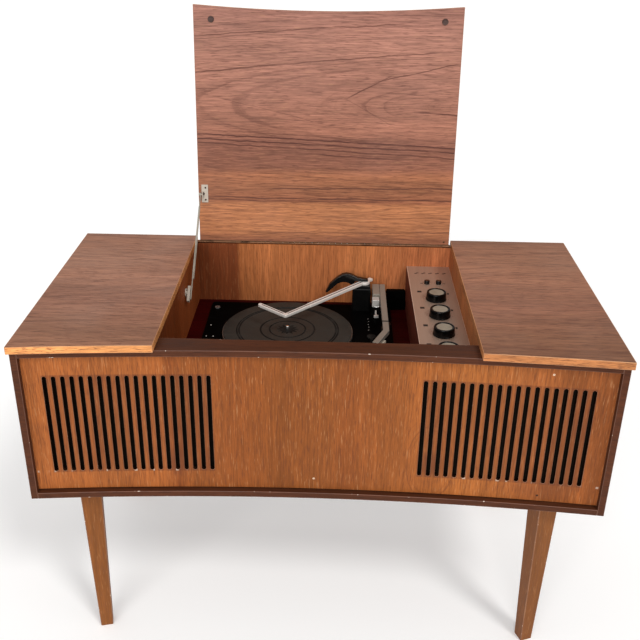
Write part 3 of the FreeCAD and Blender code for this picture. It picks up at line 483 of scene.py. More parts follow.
@dataclass(frozen=True)
class Veneer(Finish):
    """Oiled teak, with bands across the board, streaks, pores and growth lines."""

    name: str
    grain: Grain
    bands: Stops
    heart: Optional[Heart] = None
    veins: tuple[Vein, ...] = ()
    knots: tuple[Knot, ...] = ()
    slots: Optional[Slots] = None
    line: Colour = (0.10, 0.035, 0.022)
    pale: Colour = (0.66, 0.36, 0.17)
    bend: float = 0.006
    tone: float = 0.13
    streak: float = 0.10
    thread: float = 0.16
    pore: float = 0.42
    fleck: float = 0.16
    haze: float = 0.0
    haze_colour: Colour = (0.45, 0.33, 0.27)
    specular: float = 0.14
    roughness: float = 0.5
    lean: float = 0.0
    gain: Colour = (1.0, 1.0, 1.0)

    def fibres(self, graph: Graph) -> tuple[Socket, Socket, Socket]:
        """Coordinates along, across and through the board.

        Args:
            graph: the material being written.

        Returns:
            The three numbers, in metres.
        """
        source = graph.coords
        if self.lean:
            pin = joint_record("lid_hinge")["pos_m"]
            sockets = {"Vector": source, "Center": tuple(pin), "Axis": (1.0, 0.0, 0.0), "Angle": self.lean}
            source = graph.add("ShaderNodeVectorRotate", sockets).outputs[0]
        split = graph.add("ShaderNodeSeparateXYZ", {0: source})
        return tuple(split.outputs[axis] for axis in self.grain.value)

    def write(self, graph: Graph) -> None:
        """Writes the veneer's nodes."""
        along, across, through = self.fibres(graph)
        slow = graph.noise(graph.vector(graph.times(along, 0.35), across, through), 6.0)
        bent = graph.plus(across, graph.scaled(slow, 2.0 * self.bend, -self.bend))
        plane = graph.vector(along, bent, through)
        low, high = self.bands[0][0], self.bands[-1][0]
        stray = graph.scaled(graph.fibrous(plane, 3.0, 70.0, 3.0, 0.5), 2.0 * BAND_STRAY, -BAND_STRAY)
        place = graph.minus(graph.plus(bent, stray), low)
        stops = tuple(((where - low) / (high - low), tuple(part * gain for part, gain in zip(colour, self.gain)))
                      for where, colour in self.bands)
        colour = graph.ramp(graph.calc("DIVIDE", place, high - low, clamp=True), stops)
        layers = [graph.span(graph.fibrous(plane, *cells), 0.3, 0.7) for cells in FIBRE_CELLS]
        for layer, amount in zip(layers, (self.tone, self.streak, self.thread)):
            colour = graph.shaded(colour, graph.swing(layer, amount))
        tone, _, thread = layers
        fine = graph.fibrous(plane, *PORE_CELLS, 2.0, 0.5)
        colour = graph.mixed(graph.span(fine, 0.28, 0.40, self.fleck, 0.0), colour, self.pale)
        pores = graph.span(fine, 0.56, 0.66, 0.0, self.pore)
        board = Board(graph, along, bent, across, self.line, colour)
        board.darken(pores)
        if self.heart:
            board.arches(self.heart)
        if self.veins:
            board.drawn(self.veins)
        for knot in self.knots:
            board.knotted(knot)
        if self.slots:
            board.rubbed(self.slots)
        colour = board.colour
        if self.haze:
            cloud = graph.noise(plane, 7.0, 4.0, 0.6)
            colour = graph.mixed(graph.span(cloud, 0.35, 0.75, 0.0, self.haze), colour, self.haze_colour)
        dull = graph.scaled(thread, 0.10, self.roughness - 0.05)
        graph.surface(Base_Color=colour, Roughness=graph.scaled(tone, 0.08, dull),
                      Specular_IOR_Level=self.specular)
        graph.relief(graph.scaled(pores, -1.2, thread), 0.14 * MM, 0.6)


@dataclass(frozen=True)
class Arris(Finish):
    """The rounded edge of a board, rubbed lighter and nicked."""

    name: str
    wood: Colour
    rubbed: Colour
    bare: Colour = (0.72, 0.62, 0.52)
    nicks: float = 0.70
    pitch: float = 42.0

    def write(self, graph: Graph) -> None:
        """Writes the edge's nodes."""
        wear = graph.noise(graph.coords, 22.0, 4.0, 0.6)
        colour = graph.mixed(graph.span(wear, 0.35, 0.65), self.wood, self.rubbed)
        spots = graph.noise(graph.coords, self.pitch, 3.0, 0.62)
        colour = graph.mixed(graph.span(spots, self.nicks, self.nicks + 0.02), colour, self.bare)
        graph.surface(Base_Color=colour, Roughness=graph.span(wear, 0.2, 0.8, 0.4, 0.6))
        graph.relief(spots, 0.0002, 0.4)


@dataclass(frozen=True)
class Metal(Finish):
    """Worked metal, brushed along an axis or turned about a centre."""

    name: str
    colour: Colour
    roughness: float = 0.3
    lay: Lay = Lay.ROUGH
    centre: Optional[tuple[float, float]] = None
    brush: float = 0.08
    tarnish: float = 0.0
    tarnish_colour: Colour = (0.10, 0.06, 0.03)
    metallic: float = 1.0
    pitch: float = 40.0

    def write(self, graph: Graph) -> None:
        """Writes the metal's nodes."""
        if self.centre is not None:
            lines = graph.line_noise(graph.times(graph.distance(self.centre), 2600.0), 2.0, 0.5)
        else:
            lines = graph.noise(graph.stretched(graph.coords, self.lay.value), self.pitch, 3.0, 0.6)
        blotch = graph.noise(graph.coords, 26.0, 4.0, 0.6)
        colour = graph.shaded(self.colour, graph.swing(lines, self.brush))
        stain = graph.span(blotch, 0.45, 0.72, 0.0, self.tarnish)
        colour = graph.mixed(stain, colour, self.tarnish_colour)
        dull = graph.scaled(lines, 0.14, self.roughness - 0.07)
        graph.surface(Base_Color=colour, Metallic=self.metallic, Roughness=graph.scaled(blotch, 0.08, dull))
        graph.relief(lines, 0.00004, 0.5)


@dataclass(frozen=True)
class Moulding(Finish):
    """Plastic, rubber, paint or board: an even colour with its own grain, dust and rubbed spots."""

    name: str
    colour: Colour
    roughness: float = 0.4
    speck: Colour = (0.30, 0.28, 0.25)
    dust: float = 0.08
    grain: float = 900.0
    depth: float = 0.00003
    coat: float = 0.0
    specular: float = 0.3

    def write(self, graph: Graph) -> None:
        """Writes the moulding's nodes."""
        cloud = graph.noise(graph.coords, 30.0, 4.0, 0.6)
        pebbles = graph.noise(graph.coords, self.grain, 2.0, 0.5)
        colour = graph.shaded(self.colour, graph.swing(cloud, 0.15))
        colour = graph.mixed(graph.span(cloud, 0.45, 0.8, 0.0, self.dust), colour, self.speck)
        dull = graph.scaled(cloud, 0.14, self.roughness - 0.07)
        graph.surface(Base_Color=colour, Roughness=dull, Coat_Weight=self.coat, Coat_Roughness=0.06)
        graph.surface(Specular_IOR_Level=self.specular)
        graph.relief(pebbles, self.depth, 0.6)


@dataclass(frozen=True)
class Ribbed(Finish):
    """Rubber with fine rings about a centre."""

    name: str
    colour: Colour
    centre: tuple[float, float]
    pitch: float = 2.4 * MM
    roughness: float = 0.5

    def write(self, graph: Graph) -> None:
        """Writes the rubber's nodes."""
        turns = graph.times(graph.distance(self.centre), 2.0 * math.pi / self.pitch)
        wave = graph.calc("SINE", turns)
        cloud = graph.noise(graph.coords, 24.0, 4.0, 0.6)
        colour = graph.shaded(self.colour, graph.swing(cloud, 0.3))
        colour = graph.shaded(colour, graph.scaled(wave, 0.12, 1.0))
        graph.surface(Base_Color=colour, Roughness=graph.scaled(cloud, 0.2, self.roughness - 0.1))
        graph.surface(Specular_IOR_Level=0.2)
        graph.relief(graph.scaled(wave, 0.5, 0.5), 0.00025, 0.7)


@dataclass(frozen=True)
class Weave(Finish):
    """Plain woven speaker cloth."""

    name: str
    warp: Colour
    weft: Colour
    pitch: float = 1.6 * MM

    def write(self, graph: Graph) -> None:
        """Writes the cloth's nodes."""
        split = graph.add("ShaderNodeSeparateXYZ", {0: graph.coords})
        turns = 2.0 * math.pi / self.pitch
        wave_x = graph.calc("SINE", graph.times(split.outputs[0], turns))
        wave_z = graph.calc("SINE", graph.times(split.outputs[2], turns))
        over = graph.span(graph.times(wave_x, wave_z), -0.3, 0.3)
        slub = graph.noise(graph.stretched(graph.coords, (1.0, 1.0, 0.15)), 300.0, 3.0)
        colour = graph.shaded(graph.mixed(over, self.warp, self.weft), graph.swing(slub, 0.35))
        graph.surface(Base_Color=colour, Roughness=0.9, Specular_IOR_Level=0.05)
        graph.relief(graph.times(over, slub), 0.0003, 0.7)


@dataclass(frozen=True)
class Ground(Finish):
    """Pale studio floor, a little lit from below."""

    name: str = "studio_floor"
    colour: Colour = (0.96, 0.96, 0.96)

    def write(self, graph: Graph) -> None:
        """Writes the floor's nodes."""
        cloud = graph.noise(graph.coords, 1.5, 2.0)
        graph.surface(Base_Color=graph.shaded(self.colour, graph.swing(cloud, 0.01)), Roughness=0.85)
        graph.surface(Specular_IOR_Level=0.1, Emission_Color=(1.0, 1.0, 1.0), Emission_Strength=0.14)


def joint_record(name: str) -> dict:
    """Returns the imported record's joint of that name."""
    return next(joint for joint in frame["joints"] if joint["name"] == name)


def node_slot(node: str) -> str:
    """Returns the record's material slot of a node."""
    parts = frame["record"]["subparts"]
    return next(part["material_slot"] for part in parts if part["node"] == node)


def node_body(node: str) -> str:
    """Returns the body that a node rides on."""
    return str(frame["nodes"][node]["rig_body"])


def middle(node: str) -> Vector:
    """Returns the middle of a node's box, in metres."""
    low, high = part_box(node)
    return (low + high) / 2


# ------------------------------------------------------------------ finishes

LEAN = math.radians(5.7)
PIN_HEIGHT = float(joint_record("lid_hinge")["pos_m"][2])
SPINDLE = middle("spindle")

LID_BANDS: Stops = (
    (0.000, (0.22, 0.085, 0.048)), (0.015, (0.28, 0.108, 0.053)), (0.027, (0.42, 0.168, 0.075)),
    (0.084, (0.42, 0.170, 0.076)), (0.093, (0.28, 0.105, 0.054)), (0.120, (0.28, 0.112, 0.058)),
    (0.146, (0.33, 0.130, 0.066)), (0.166, (0.24, 0.098, 0.062)), (0.218, (0.22, 0.093, 0.063)),
    (0.235, (0.29, 0.124, 0.082)), (0.275, (0.31, 0.138, 0.095)), (0.330, (0.31, 0.143, 0.103)),
    (0.410, (0.31, 0.147, 0.108)), (0.490, (0.30, 0.140, 0.108)),
)
LID_VEINS = (
    Vein((-0.265, 0.426), (0.14, 0.452), 0.0014, 0.75), Vein((-0.265, 0.354), (-0.11, 0.371), 0.0018, 0.8),
    Vein((-0.11, 0.371), (0.21, 0.398), 0.0014, 0.75), Vein((0.06, 0.315), (0.112, 0.341), 0.0017, 0.8),
    Vein((0.112, 0.341), (0.245, 0.373), 0.0014, 0.8), Vein((0.20, 0.2815), (0.27, 0.2775), 0.0022, 0.85),
    Vein((-0.265, 0.2306), (0.27, 0.209), 0.0019, 0.97), Vein((-0.265, 0.221), (0.27, 0.200), 0.0019, 0.97),
    Vein((-0.265, 0.213), (0.27, 0.188), 0.0015, 0.85), Vein((0.0, 0.190), (0.14, 0.185), 0.0016, 0.85),
    Vein((-0.10, 0.120), (0.27, 0.1235), 0.0014, 0.85), Vein((-0.24, 0.100), (0.27, 0.098), 0.0014, 0.85),
    Vein((-0.24, 0.094), (0.10, 0.094), 0.0012, 0.75), Vein((-0.10, 0.024), (0.27, 0.030), 0.0014, 0.6),
    Vein((-0.02, 0.058), (0.27, 0.061), 0.0012, 0.35), Vein((-0.265, 0.240), (0.10, 0.222), 0.0010, 0.5),
    Vein((-0.21, 0.330), (-0.10, 0.338), 0.0010, 0.4), Vein((-0.20, 0.300), (-0.02, 0.258), 0.0010, 0.45),
    Vein((0.05, 0.300), (0.12, 0.262), 0.0010, 0.4), Vein((-0.265, 0.402), (-0.12, 0.409), 0.0010, 0.4),
)
FRONT_BANDS: Stops = (
    (-0.500, (0.34, 0.108, 0.030)), (-0.360, (0.34, 0.110, 0.031)), (-0.265, (0.31, 0.098, 0.027)),
    (-0.250, (0.22, 0.064, 0.017)), (-0.225, (0.26, 0.082, 0.022)), (-0.130, (0.23, 0.070, 0.018)),
    (-0.070, (0.22, 0.069, 0.017)), (0.020, (0.25, 0.080, 0.021)), (0.050, (0.22, 0.067, 0.018)),
    (0.130, (0.28, 0.090, 0.024)), (0.200, (0.33, 0.108, 0.029)), (0.260, (0.34, 0.116, 0.031)),
    (0.370, (0.30, 0.098, 0.029)), (0.500, (0.24, 0.073, 0.020)),
)
TOP_BANDS: Stops = (
    (-0.300, (0.31, 0.145, 0.084)), (-0.200, (0.29, 0.135, 0.083)), (-0.090, (0.32, 0.148, 0.096)),
    (0.010, (0.36, 0.170, 0.108)), (0.110, (0.345, 0.162, 0.101)), (0.250, (0.28, 0.132, 0.084)),
)
RIGHT_BANDS: Stops = (
    (-0.300, (0.21, 0.100, 0.058)), (-0.255, (0.23, 0.108, 0.065)), (-0.215, (0.29, 0.136, 0.080)),
    (-0.090, (0.325, 0.150, 0.097)), (0.010, (0.376, 0.178, 0.113)), (0.110, (0.367, 0.176, 0.109)),
    (0.250, (0.31, 0.148, 0.093)),
)
BACK_BANDS: Stops = (
    (-0.280, (0.160, 0.038, 0.011)), (-0.190, (0.180, 0.045, 0.014)), (-0.178, (0.34, 0.108, 0.033)),
    (-0.120, (0.45, 0.148, 0.048)), (-0.050, (0.41, 0.132, 0.043)), (0.020, (0.41, 0.13, 0.043)),
    (0.080, (0.48, 0.162, 0.053)), (0.150, (0.38, 0.120, 0.042)), (0.280, (0.39, 0.125, 0.048)),
)
WALL_BANDS: Stops = ((-0.25, (0.38, 0.130, 0.042)), (0.0, (0.40, 0.140, 0.048)), (0.25, (0.34, 0.11, 0.038)))
# Painted shade: the left well wall darkens towards the front, where shade falls.
LEFT_BANDS_PAINTED_SHADE: Stops = ((-0.25, (0.16, 0.040, 0.008)), (-0.05, (0.20, 0.055, 0.014)), (0.12, (0.34, 0.11, 0.036)),
                     (0.25, (0.26, 0.075, 0.022)))
SIDE_BANDS: Stops = ((-0.3, (0.26, 0.11, 0.055)), (0.0, (0.30, 0.13, 0.065)), (0.25, (0.27, 0.115, 0.06)))
DARK_BANDS: Stops = ((-0.6, (0.068, 0.0205, 0.0082)), (0.0, (0.076, 0.0230, 0.0090)), (0.6, (0.063, 0.0195, 0.0075)))
LEG_BANDS: Stops = ((-0.5, (0.36, 0.155, 0.055)), (0.0, (0.38, 0.165, 0.060)), (0.5, (0.34, 0.150, 0.055)))
FRONT_SLOTS = Slots(0.1855, 0.4645, 0.0155, 0.0038, 0.3975, 0.5925)
FRONT_KNOTS = (Knot(0.415, -0.248, 0.034, 0.018, 0.5), Knot(0.425, 0.208, 0.030, 0.020, 0.6),
               Knot(0.385, 0.40, 0.03, 0.06, 0.35))


def raised(stops: Stops, lift: float) -> Stops:
    """Moves the places of colour stops up by a length."""
    return tuple((place + lift, colour) for place, colour in stops)


def raised_veins(veins: Sequence[Vein], lift: float) -> tuple[Vein, ...]:
    """Moves veins up across the fibres by a length."""
    return tuple(replace(vein, start=(vein.start[0], vein.start[1] + lift), end=(vein.end[0], vein.end[1] + lift))
                 for vein in veins)


LID_TEAK = Veneer("lid_teak", Grain.UPRIGHT, raised(LID_BANDS, PIN_HEIGHT), veins=raised_veins(LID_VEINS, PIN_HEIGHT),
                  heart=Heart(0.40, PIN_HEIGHT + 0.292, 0.15, 150.0, 0.34), lean=LEAN, bend=0.003, haze=0.08,
                  haze_colour=(0.48, 0.26, 0.21), pore=0.5, thread=0.24, streak=0.12, line=(0.085, 0.030, 0.022),
                  gain=(1.06, 1.04, 1.02))
LID_FACE = Veneer("lid_face_teak", Grain.UPRIGHT, ((0.65, (0.28, 0.125, 0.075)), (1.14, (0.32, 0.15, 0.09))),
                  heart=Heart(-0.1, 0.87, 0.12, 70.0, 0.4), haze=0.15)
TOP_LEFT = Veneer("top_left_teak", Grain.FLAT, TOP_BANDS, haze=0.12, pore=0.6, bend=0.010,
                  heart=Heart(-0.80, 0.02, 0.20, 60.0, 0.30),
                  veins=(Vein((-0.42, 0.115), (-0.36, 0.113), 0.0012, 0.5),
                         Vein((-0.40, 0.150), (-0.30, 0.152), 0.001, 0.3)))
TOP_RIGHT = Veneer("top_right_teak", Grain.FLAT, RIGHT_BANDS, haze=0.08, pore=0.6, bend=0.012,
                   gain=(0.90, 0.84, 0.78), heart=Heart(0.60, -0.04, 0.30, 60.0, 0.32),
                   veins=(Vein((0.33, 0.118), (0.42, 0.112), 0.0012, 0.4),
                          Vein((0.36, -0.05), (0.46, -0.06), 0.001, 0.35)))
EDGE_TEAK = Veneer("edge_teak", Grain.FLAT, ((-0.3, (0.66, 0.275, 0.092)), (0.3, (0.62, 0.26, 0.085))), tone=0.22,
                   thread=0.22, pore=0.6)
EDGE_RIGHT = replace(EDGE_TEAK, name="edge_right_teak",
                     bands=((-0.3, (0.40, 0.155, 0.055)), (0.3, (0.36, 0.14, 0.05))))
FRONT_TEAK = Veneer("panel_teak", Grain.STANDING, FRONT_BANDS, line=(0.11, 0.032, 0.014), slots=FRONT_SLOTS,
                    heart=Heart(0.425, 0.205, 0.55, 170.0, 0.45, spread=0.075), knots=FRONT_KNOTS, fleck=0.24, pore=0.5,
                    gain=(0.95, 0.88, 0.74))
BACK_TEAK = Veneer("back_wall_teak", Grain.STANDING, BACK_BANDS, line=(0.12, 0.036, 0.015), streak=0.14)
WALL_TEAK = replace(BACK_TEAK, name="well_wall_teak", grain=Grain.SIDEWALL, bands=WALL_BANDS)
# Painted shade: the left wall's veneer is darkened and reddened as though it lay in shade.
LEFT_TEAK_PAINTED_SHADE = replace(WALL_TEAK, name="well_left_teak", bands=LEFT_BANDS_PAINTED_SHADE, gain=(0.88, 0.70, 0.55))
# Painted shade: the control cheek is coloured dark because it stands in shade.
CHEEK_PAINTED_SHADE = Veneer("cheek_teak", Grain.SIDEWALL, WALL_BANDS, line=(0.05, 0.012, 0.006), gain=(0.30, 0.19, 0.32))
SIDE_TEAK = Veneer("side_board_teak", Grain.SIDEWALL, SIDE_BANDS, heart=Heart(0.1, 0.0, 0.2, 60.0))
DARK_FRAME = Veneer("frame_dark_teak", Grain.FLAT, DARK_BANDS, line=(0.025, 0.010, 0.008), fleck=0.05,
                    pale=(0.22, 0.12, 0.08))
# Painted shade: near-black for the slot walls, which lie in shade.
SLOT_PAINTED_SHADE = Moulding("slot_stain", (0.010, 0.004, 0.002), 0.8, speck=(0.16, 0.07, 0.03), dust=0.2, specular=0.02)
LEG_TEAK = Veneer("leg_front_teak", Grain.STANDING, LEG_BANDS, line=(0.16, 0.06, 0.03), thread=0.12,
                  gain=(0.52, 0.42, 0.36))
# Painted shade: a shaded copy of the leg veneer for the faces turned away from the light.
LEG_PAINTED_SHADE = replace(LEG_TEAK, name="leg_side_teak", gain=(0.54, 0.42, 0.29))
DECK_BOARD = Veneer("deck_lacquer", Grain.FLAT, ((-0.3, (0.040, 0.0012, 0.0016)), (0.3, (0.030, 0.0010, 0.0014))),
                    line=(0.008, 0.001, 0.001), pale=(0.05, 0.006, 0.006), roughness=0.35, fleck=0.02, specular=0.03)
HARDBOARD = Moulding("back_hardboard", (0.20, 0.11, 0.055), 0.75, speck=(0.26, 0.16, 0.09), dust=0.3, grain=500.0,
                     depth=0.0002)
CHIPBOARD = Moulding("chipboard", (0.38, 0.26, 0.15), 0.85, speck=(0.20, 0.12, 0.06), dust=0.5, grain=260.0,
                     depth=0.0003)
DARK_ARRIS = Arris("dark_arris", (0.085, 0.030, 0.015), (0.14, 0.052, 0.026), (0.70, 0.58, 0.48), 0.655, 100.0)
TOP_ARRIS = Arris("top_arris", (0.42, 0.18, 0.075), (0.56, 0.27, 0.12), (0.70, 0.55, 0.40), 0.70, 90.0)
LID_ARRIS = Arris("lid_arris", (0.28, 0.12, 0.065), (0.40, 0.19, 0.10), (0.60, 0.46, 0.35), 0.70, 90.0)
LEG_ARRIS = Arris("leg_arris", (0.18, 0.065, 0.022), (0.26, 0.11, 0.045), (0.78, 0.66, 0.52), 0.65, 120.0)

BRASS = Metal("aged_brass", (0.20, 0.10, 0.055), 0.5, tarnish=0.8, tarnish_colour=(0.04, 0.022, 0.014))
BRIGHT_BRASS = Metal("turned_brass", (0.72, 0.55, 0.28), 0.25)
STEEL = Metal("plain_steel", (0.52, 0.50, 0.47), 0.38, tarnish=0.3, tarnish_colour=(0.2, 0.18, 0.16))
STAY_STEEL = Metal("stay_strip", (0.40, 0.36, 0.30), 0.5, tarnish=0.5, tarnish_colour=(0.12, 0.09, 0.07),
                   metallic=0.6)
ZINC = Metal("zinc_plate", (0.60, 0.60, 0.60), 0.42, tarnish=0.2, tarnish_colour=(0.3, 0.3, 0.3))
CHROME = Metal("bright_chrome", (0.82, 0.81, 0.79), 0.12, brush=0.02)
CHAMPAGNE = Metal("champagne_plate", (0.46, 0.315, 0.235), 0.42, Lay.ALONG_Y, brush=0.16, metallic=0.55, pitch=12.0)
# Painted highlight: the cut edges' bare metal, made much lighter than the plate to stand for the light they catch.
CHAMPAGNE_EDGE_HIGHLIGHT = Metal("champagne_edge", (0.85, 0.66, 0.52), 0.3, Lay.ALONG_Y, metallic=0.4)
SILVER = Metal("silver_alloy", (0.52, 0.50, 0.47), 0.42, Lay.ROUGH, brush=0.05, metallic=0.35)
STRIP = Metal("strip_alloy", (0.80, 0.75, 0.70), 0.36, Lay.ROUGH, brush=0.05, metallic=0.3)
ARM_PAINT = Metal("arm_lacquer", (0.28, 0.25, 0.21), 0.4, Lay.ALONG_Y, brush=0.05, metallic=0.35)
PLATTER_RIM = Metal("platter_alloy", (0.22, 0.22, 0.21), 0.4, centre=(SPINDLE.x, SPINDLE.y))
MAT_RUBBER = Ribbed("ribbed_rubber", (0.030, 0.028, 0.024), (SPINDLE.x, SPINDLE.y))
RUBBER = Moulding("black_rubber", (0.008, 0.007, 0.006), 0.7, grain=600.0, depth=0.00008, specular=0.15)
BUFFER_RUBBER = Moulding("buffer_brown", (0.045, 0.018, 0.013), 0.35, speck=(0.5, 0.40, 0.34), dust=0.15)
GLOSS_BLACK = Moulding("gloss_black", (0.003, 0.003, 0.003), 0.22, dust=0.01, specular=0.35)
KNOB_BLACK = Moulding("knob_moulding", (0.0012, 0.0012, 0.0012), 0.2, dust=0.004, specular=0.14)
DECK_BLACK = Moulding("deck_enamel", (0.001, 0.0009, 0.0009), 0.5, dust=0.004, specular=0.012)
PAPER = Moulding("cone_card", (0.05, 0.048, 0.045), 0.9, grain=400.0, depth=0.0002)
GREY_PAINT = Moulding("grey_enamel", (0.20, 0.20, 0.21), 0.45)
SHELL = Moulding("shell_cream", (0.46, 0.39, 0.31), 0.3, coat=0.2)
STAY_PLASTIC = Moulding("stay_cream", (0.50, 0.44, 0.37), 0.5, speck=(0.25, 0.2, 0.16), dust=0.4)
MARKING = Moulding("printed_mark", (0.022, 0.013, 0.010), 0.6)
PALE_MARKING = Moulding("pale_mark", (0.50, 0.47, 0.43), 0.5)
BARE_WOOD = Moulding("bare_wood", (0.72, 0.55, 0.40), 0.8)
CLOTH = Weave("speaker_cloth", (0.004, 0.003, 0.002), (0.009, 0.007, 0.005))


# ------------------------------------------------------------------ shapes


@dataclass
class Assembly:
    """Shared work of every sub-assembly: dressing frame nodes and adding pieces."""

    made: list[str] = field(default_factory=list)

    def dress(self, finishes: dict[str, Finish]) -> None:
        """Gives frame nodes their finishes.

        Args:
            finishes: each node's name with its finish.
        """
        for node, finish in finishes.items():
            item = frame["nodes"][node]
            for slot in item.material_slots:
                slot.material = finish.material()
            if not item.material_slots:
                item.data.materials.append(finish.material())
            self.made.append(node)

    def add(self, name: str, shape: Shape, finishes: Sequence[Finish], like: str, replaces: Sequence[str] = (),
            body: str = "", limit: float = 35.0) -> Object:
        """Adds a finished piece.

        Args:
            name: the piece's name.
            shape: its mesh, in the row frame, which is freed.
            finishes: its finishes, by material number.
            like: the frame node whose body it rides on unless one is given.
            replaces: frame nodes that it stands for.
            body: the body it rides on.
            limit: edges sharper than this many degrees stay sharp.

        Returns:
            The piece.
        """
        body, slot = body or node_body(like), node_slot(like)
        mesh = finished_mesh(shape, name, limit)
        piece = bpy.data.objects.new(name, mesh)
        bpy.context.scene.collection.objects.link(piece)
        for finish in finishes:
            mesh.materials.append(finish.material())
        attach(piece, body)
        if replaces:
            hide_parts(*replaces)
        self.made.append(name)
        return piece

    def softened(self, node: str, name: str, finishes: Sequence[Finish], width: float = 0.8 * MM,
                 rule: Optional[FaceRule] = None, steps: int = 2, limit: float = 32.0) -> None:
        """Replaces a node by a copy with rounded edges.

        Args:
            node: the node's name.
            name: the new piece's name.
            finishes: finishes by number; the last one is the rounded edges'.
            width: the rounding, in metres.
            rule: gives a face's finish number from its normal and middle.
            steps: facets across a rounding.
            limit: edges sharper than this many degrees are rounded.
        """
        shape = bmesh.new()
        shape.from_mesh(frame["nodes"][node].data)
        bmesh.ops.remove_doubles(shape, verts=shape.verts, dist=2e-6)
        bmesh.ops.dissolve_limit(shape, angle_limit=math.radians(0.05), verts=shape.verts, edges=shape.edges)
        shape.normal_update()
        for face in shape.faces:
            face.material_index = rule(face.normal, face.calc_center_median()) if rule else 0
        sharp = [edge for edge in shape.edges if len(edge.link_faces) == 2
                 and edge.calc_face_angle(0.0) > math.radians(limit)]
        bmesh.ops.bevel(shape, geom=sharp, offset=width, offset_type="OFFSET", segments=steps, profile=0.6,
                        affect="EDGES", clamp_overlap=False, material=len(finishes) - 1)
        weigh_normals(self.add(name, shape, finishes, node, [node], limit=40.0))

    def turned(self, node: str, name: str, profile: Profile, finishes: Sequence[Finish], sides: int) -> None:
        """Replaces a node by a profile turned about its upright middle.

        Args:
            node: the node's name.
            name: the new piece's name.
            profile: points as radius and height in metres, with the finish number of the band that follows.
            finishes: its finishes, by number.
            sides: facets round the axis.
        """
        shape = bmesh.new()
        revolve(shape, profile, middle(node), sides)
        self.add(name, shape, finishes, node, [node])

    def report(self) -> None:
        """Logs the pieces of this sub-assembly."""
        for name in self.made:
            LOG.info("%s: %s", type(self).__name__, name)


def rows(radius: float, height: float, *steps: tuple[float, float, int]) -> list[tuple[float, float, int]]:
    """Writes profile points as steps in millimetres from one radius and height in metres."""
    return [(radius + out * MM, height + up * MM, finish) for out, up, finish in steps]


def revolve(shape: Shape, profile: Profile, centre: Sequence[float], sides: int) -> None:
    """Adds a turned surface to a mesh.

    Args:
        shape: the mesh being built.
        profile: points as radius, height and finish number.
        centre: the axis, as x and y.
        sides: facets round the axis.
    """
    rings = []
    turns = [2.0 * math.pi * step / sides for step in range(sides)]
    for radius, height, _ in profile:
        around = turns if radius > 1e-6 else turns[:1]
        rings.append([shape.verts.new((centre[0] + radius * math.cos(turn), centre[1] + radius * math.sin(turn),
                                       height)) for turn in around])
    for first, second, point in zip(rings, rings[1:], profile):
        for step in range(sides):
            after = (step + 1) % sides
            corners = [first[step % len(first)], first[after % len(first)],
                       second[after % len(second)], second[step % len(second)]]
            unique = list(dict.fromkeys(corners))
            if len(unique) > 2:
                shape.faces.new(unique).material_index = point[2]


def landing(node: str, start: Vector, way: Vector) -> Optional[tuple[Vector, Vector]]:
    """Finds where a straight line first meets a node's surface.

    Args:
        node: the CAD node.
        start: a point off the surface.
        way: the direction the line takes.

    Returns:
        The point and the surface normal there, or None when the line misses.
    """
    mesh = frame["nodes"][node].data
    corners = [vertex.co for vertex in mesh.vertices]
    tree = BVHTree.FromPolygons(corners, [tuple(face.vertices) for face in mesh.polygons])
    spot, normal, _, _ = tree.ray_cast(start, way)
    return None if spot is None else (spot, normal)


def finished_mesh(shape: Shape, name: str, limit: float) -> bpy.types.Mesh:
    """Turns a bmesh into a smooth-shaded mesh with sharp edges.

    Args:
        shape: the mesh being built, which is freed.
        name: the mesh's name.
        limit: edges sharper than this many degrees stay sharp.

    Returns:
        The mesh.
    """
    bmesh.ops.recalc_face_normals(shape, faces=shape.faces)
    for face in shape.faces:
        face.smooth = True
    mesh = bpy.data.meshes.new(name)
    shape.to_mesh(mesh)
    shape.free()
    mesh.set_sharp_from_angle(angle=math.radians(limit))
    return mesh


def weigh_normals(piece: Object) -> None:
    """Keeps a piece's flat faces flat in the shading, and applies it.

    Args:
        piece: the piece, whose mesh is replaced.
    """
    modifier = piece.modifiers.new("flat_faces", "WEIGHTED_NORMAL")
    modifier.keep_sharp = True
    graph = bpy.context.evaluated_depsgraph_get()
    made = bpy.data.meshes.new_from_object(piece.evaluated_get(graph))
    piece.modifiers.clear()
    piece.data = made


def merge(shape: Shape, part: Shape, seat: Vector, facing: Vector) -> None:
    """Moves a small mesh onto its seat and joins it to another.

    Args:
        shape: the mesh being built.
        part: the small mesh, upright about the origin, which is freed.
        seat: where its origin goes.
        facing: where its upward side looks.
    """
    bmesh.ops.transform(part, matrix=Matrix.Translation(seat) @ looking(facing), verts=part.verts)
    holder = bpy.data.meshes.new("holder")
    part.to_mesh(holder)
    part.free()
    shape.from_mesh(holder)
    bpy.data.meshes.remove(holder)


def looking(facing: Vector) -> Matrix:
    """Returns the turn that makes an upright thing look a given way."""
    return facing.to_track_quat("Z", "Y").to_matrix().to_4x4()


def box(shape: Shape, low: Sequence[float], high: Sequence[float], finish: int = 0,
        turn: Optional[Matrix] = None) -> None:
    """Adds a block to a mesh.

    Args:
        shape: the mesh being built.
        low: its lowest corner.
        high: its highest corner.
        finish: its finish number.
        turn: a matrix to move it by.
    """
    verts = [shape.verts.new((x, y, z)) for x in (low[0], high[0]) for y in (low[1], high[1])
             for z in (low[2], high[2])]
    for loop in ((0, 1, 3, 2), (4, 6, 7, 5), (0, 4, 5, 1), (2, 3, 7, 6), (0, 2, 6, 4), (1, 5, 7, 3)):
        shape.faces.new([verts[number] for number in loop]).material_index = finish
    if turn is not None:
        bmesh.ops.transform(shape, matrix=turn, verts=verts)


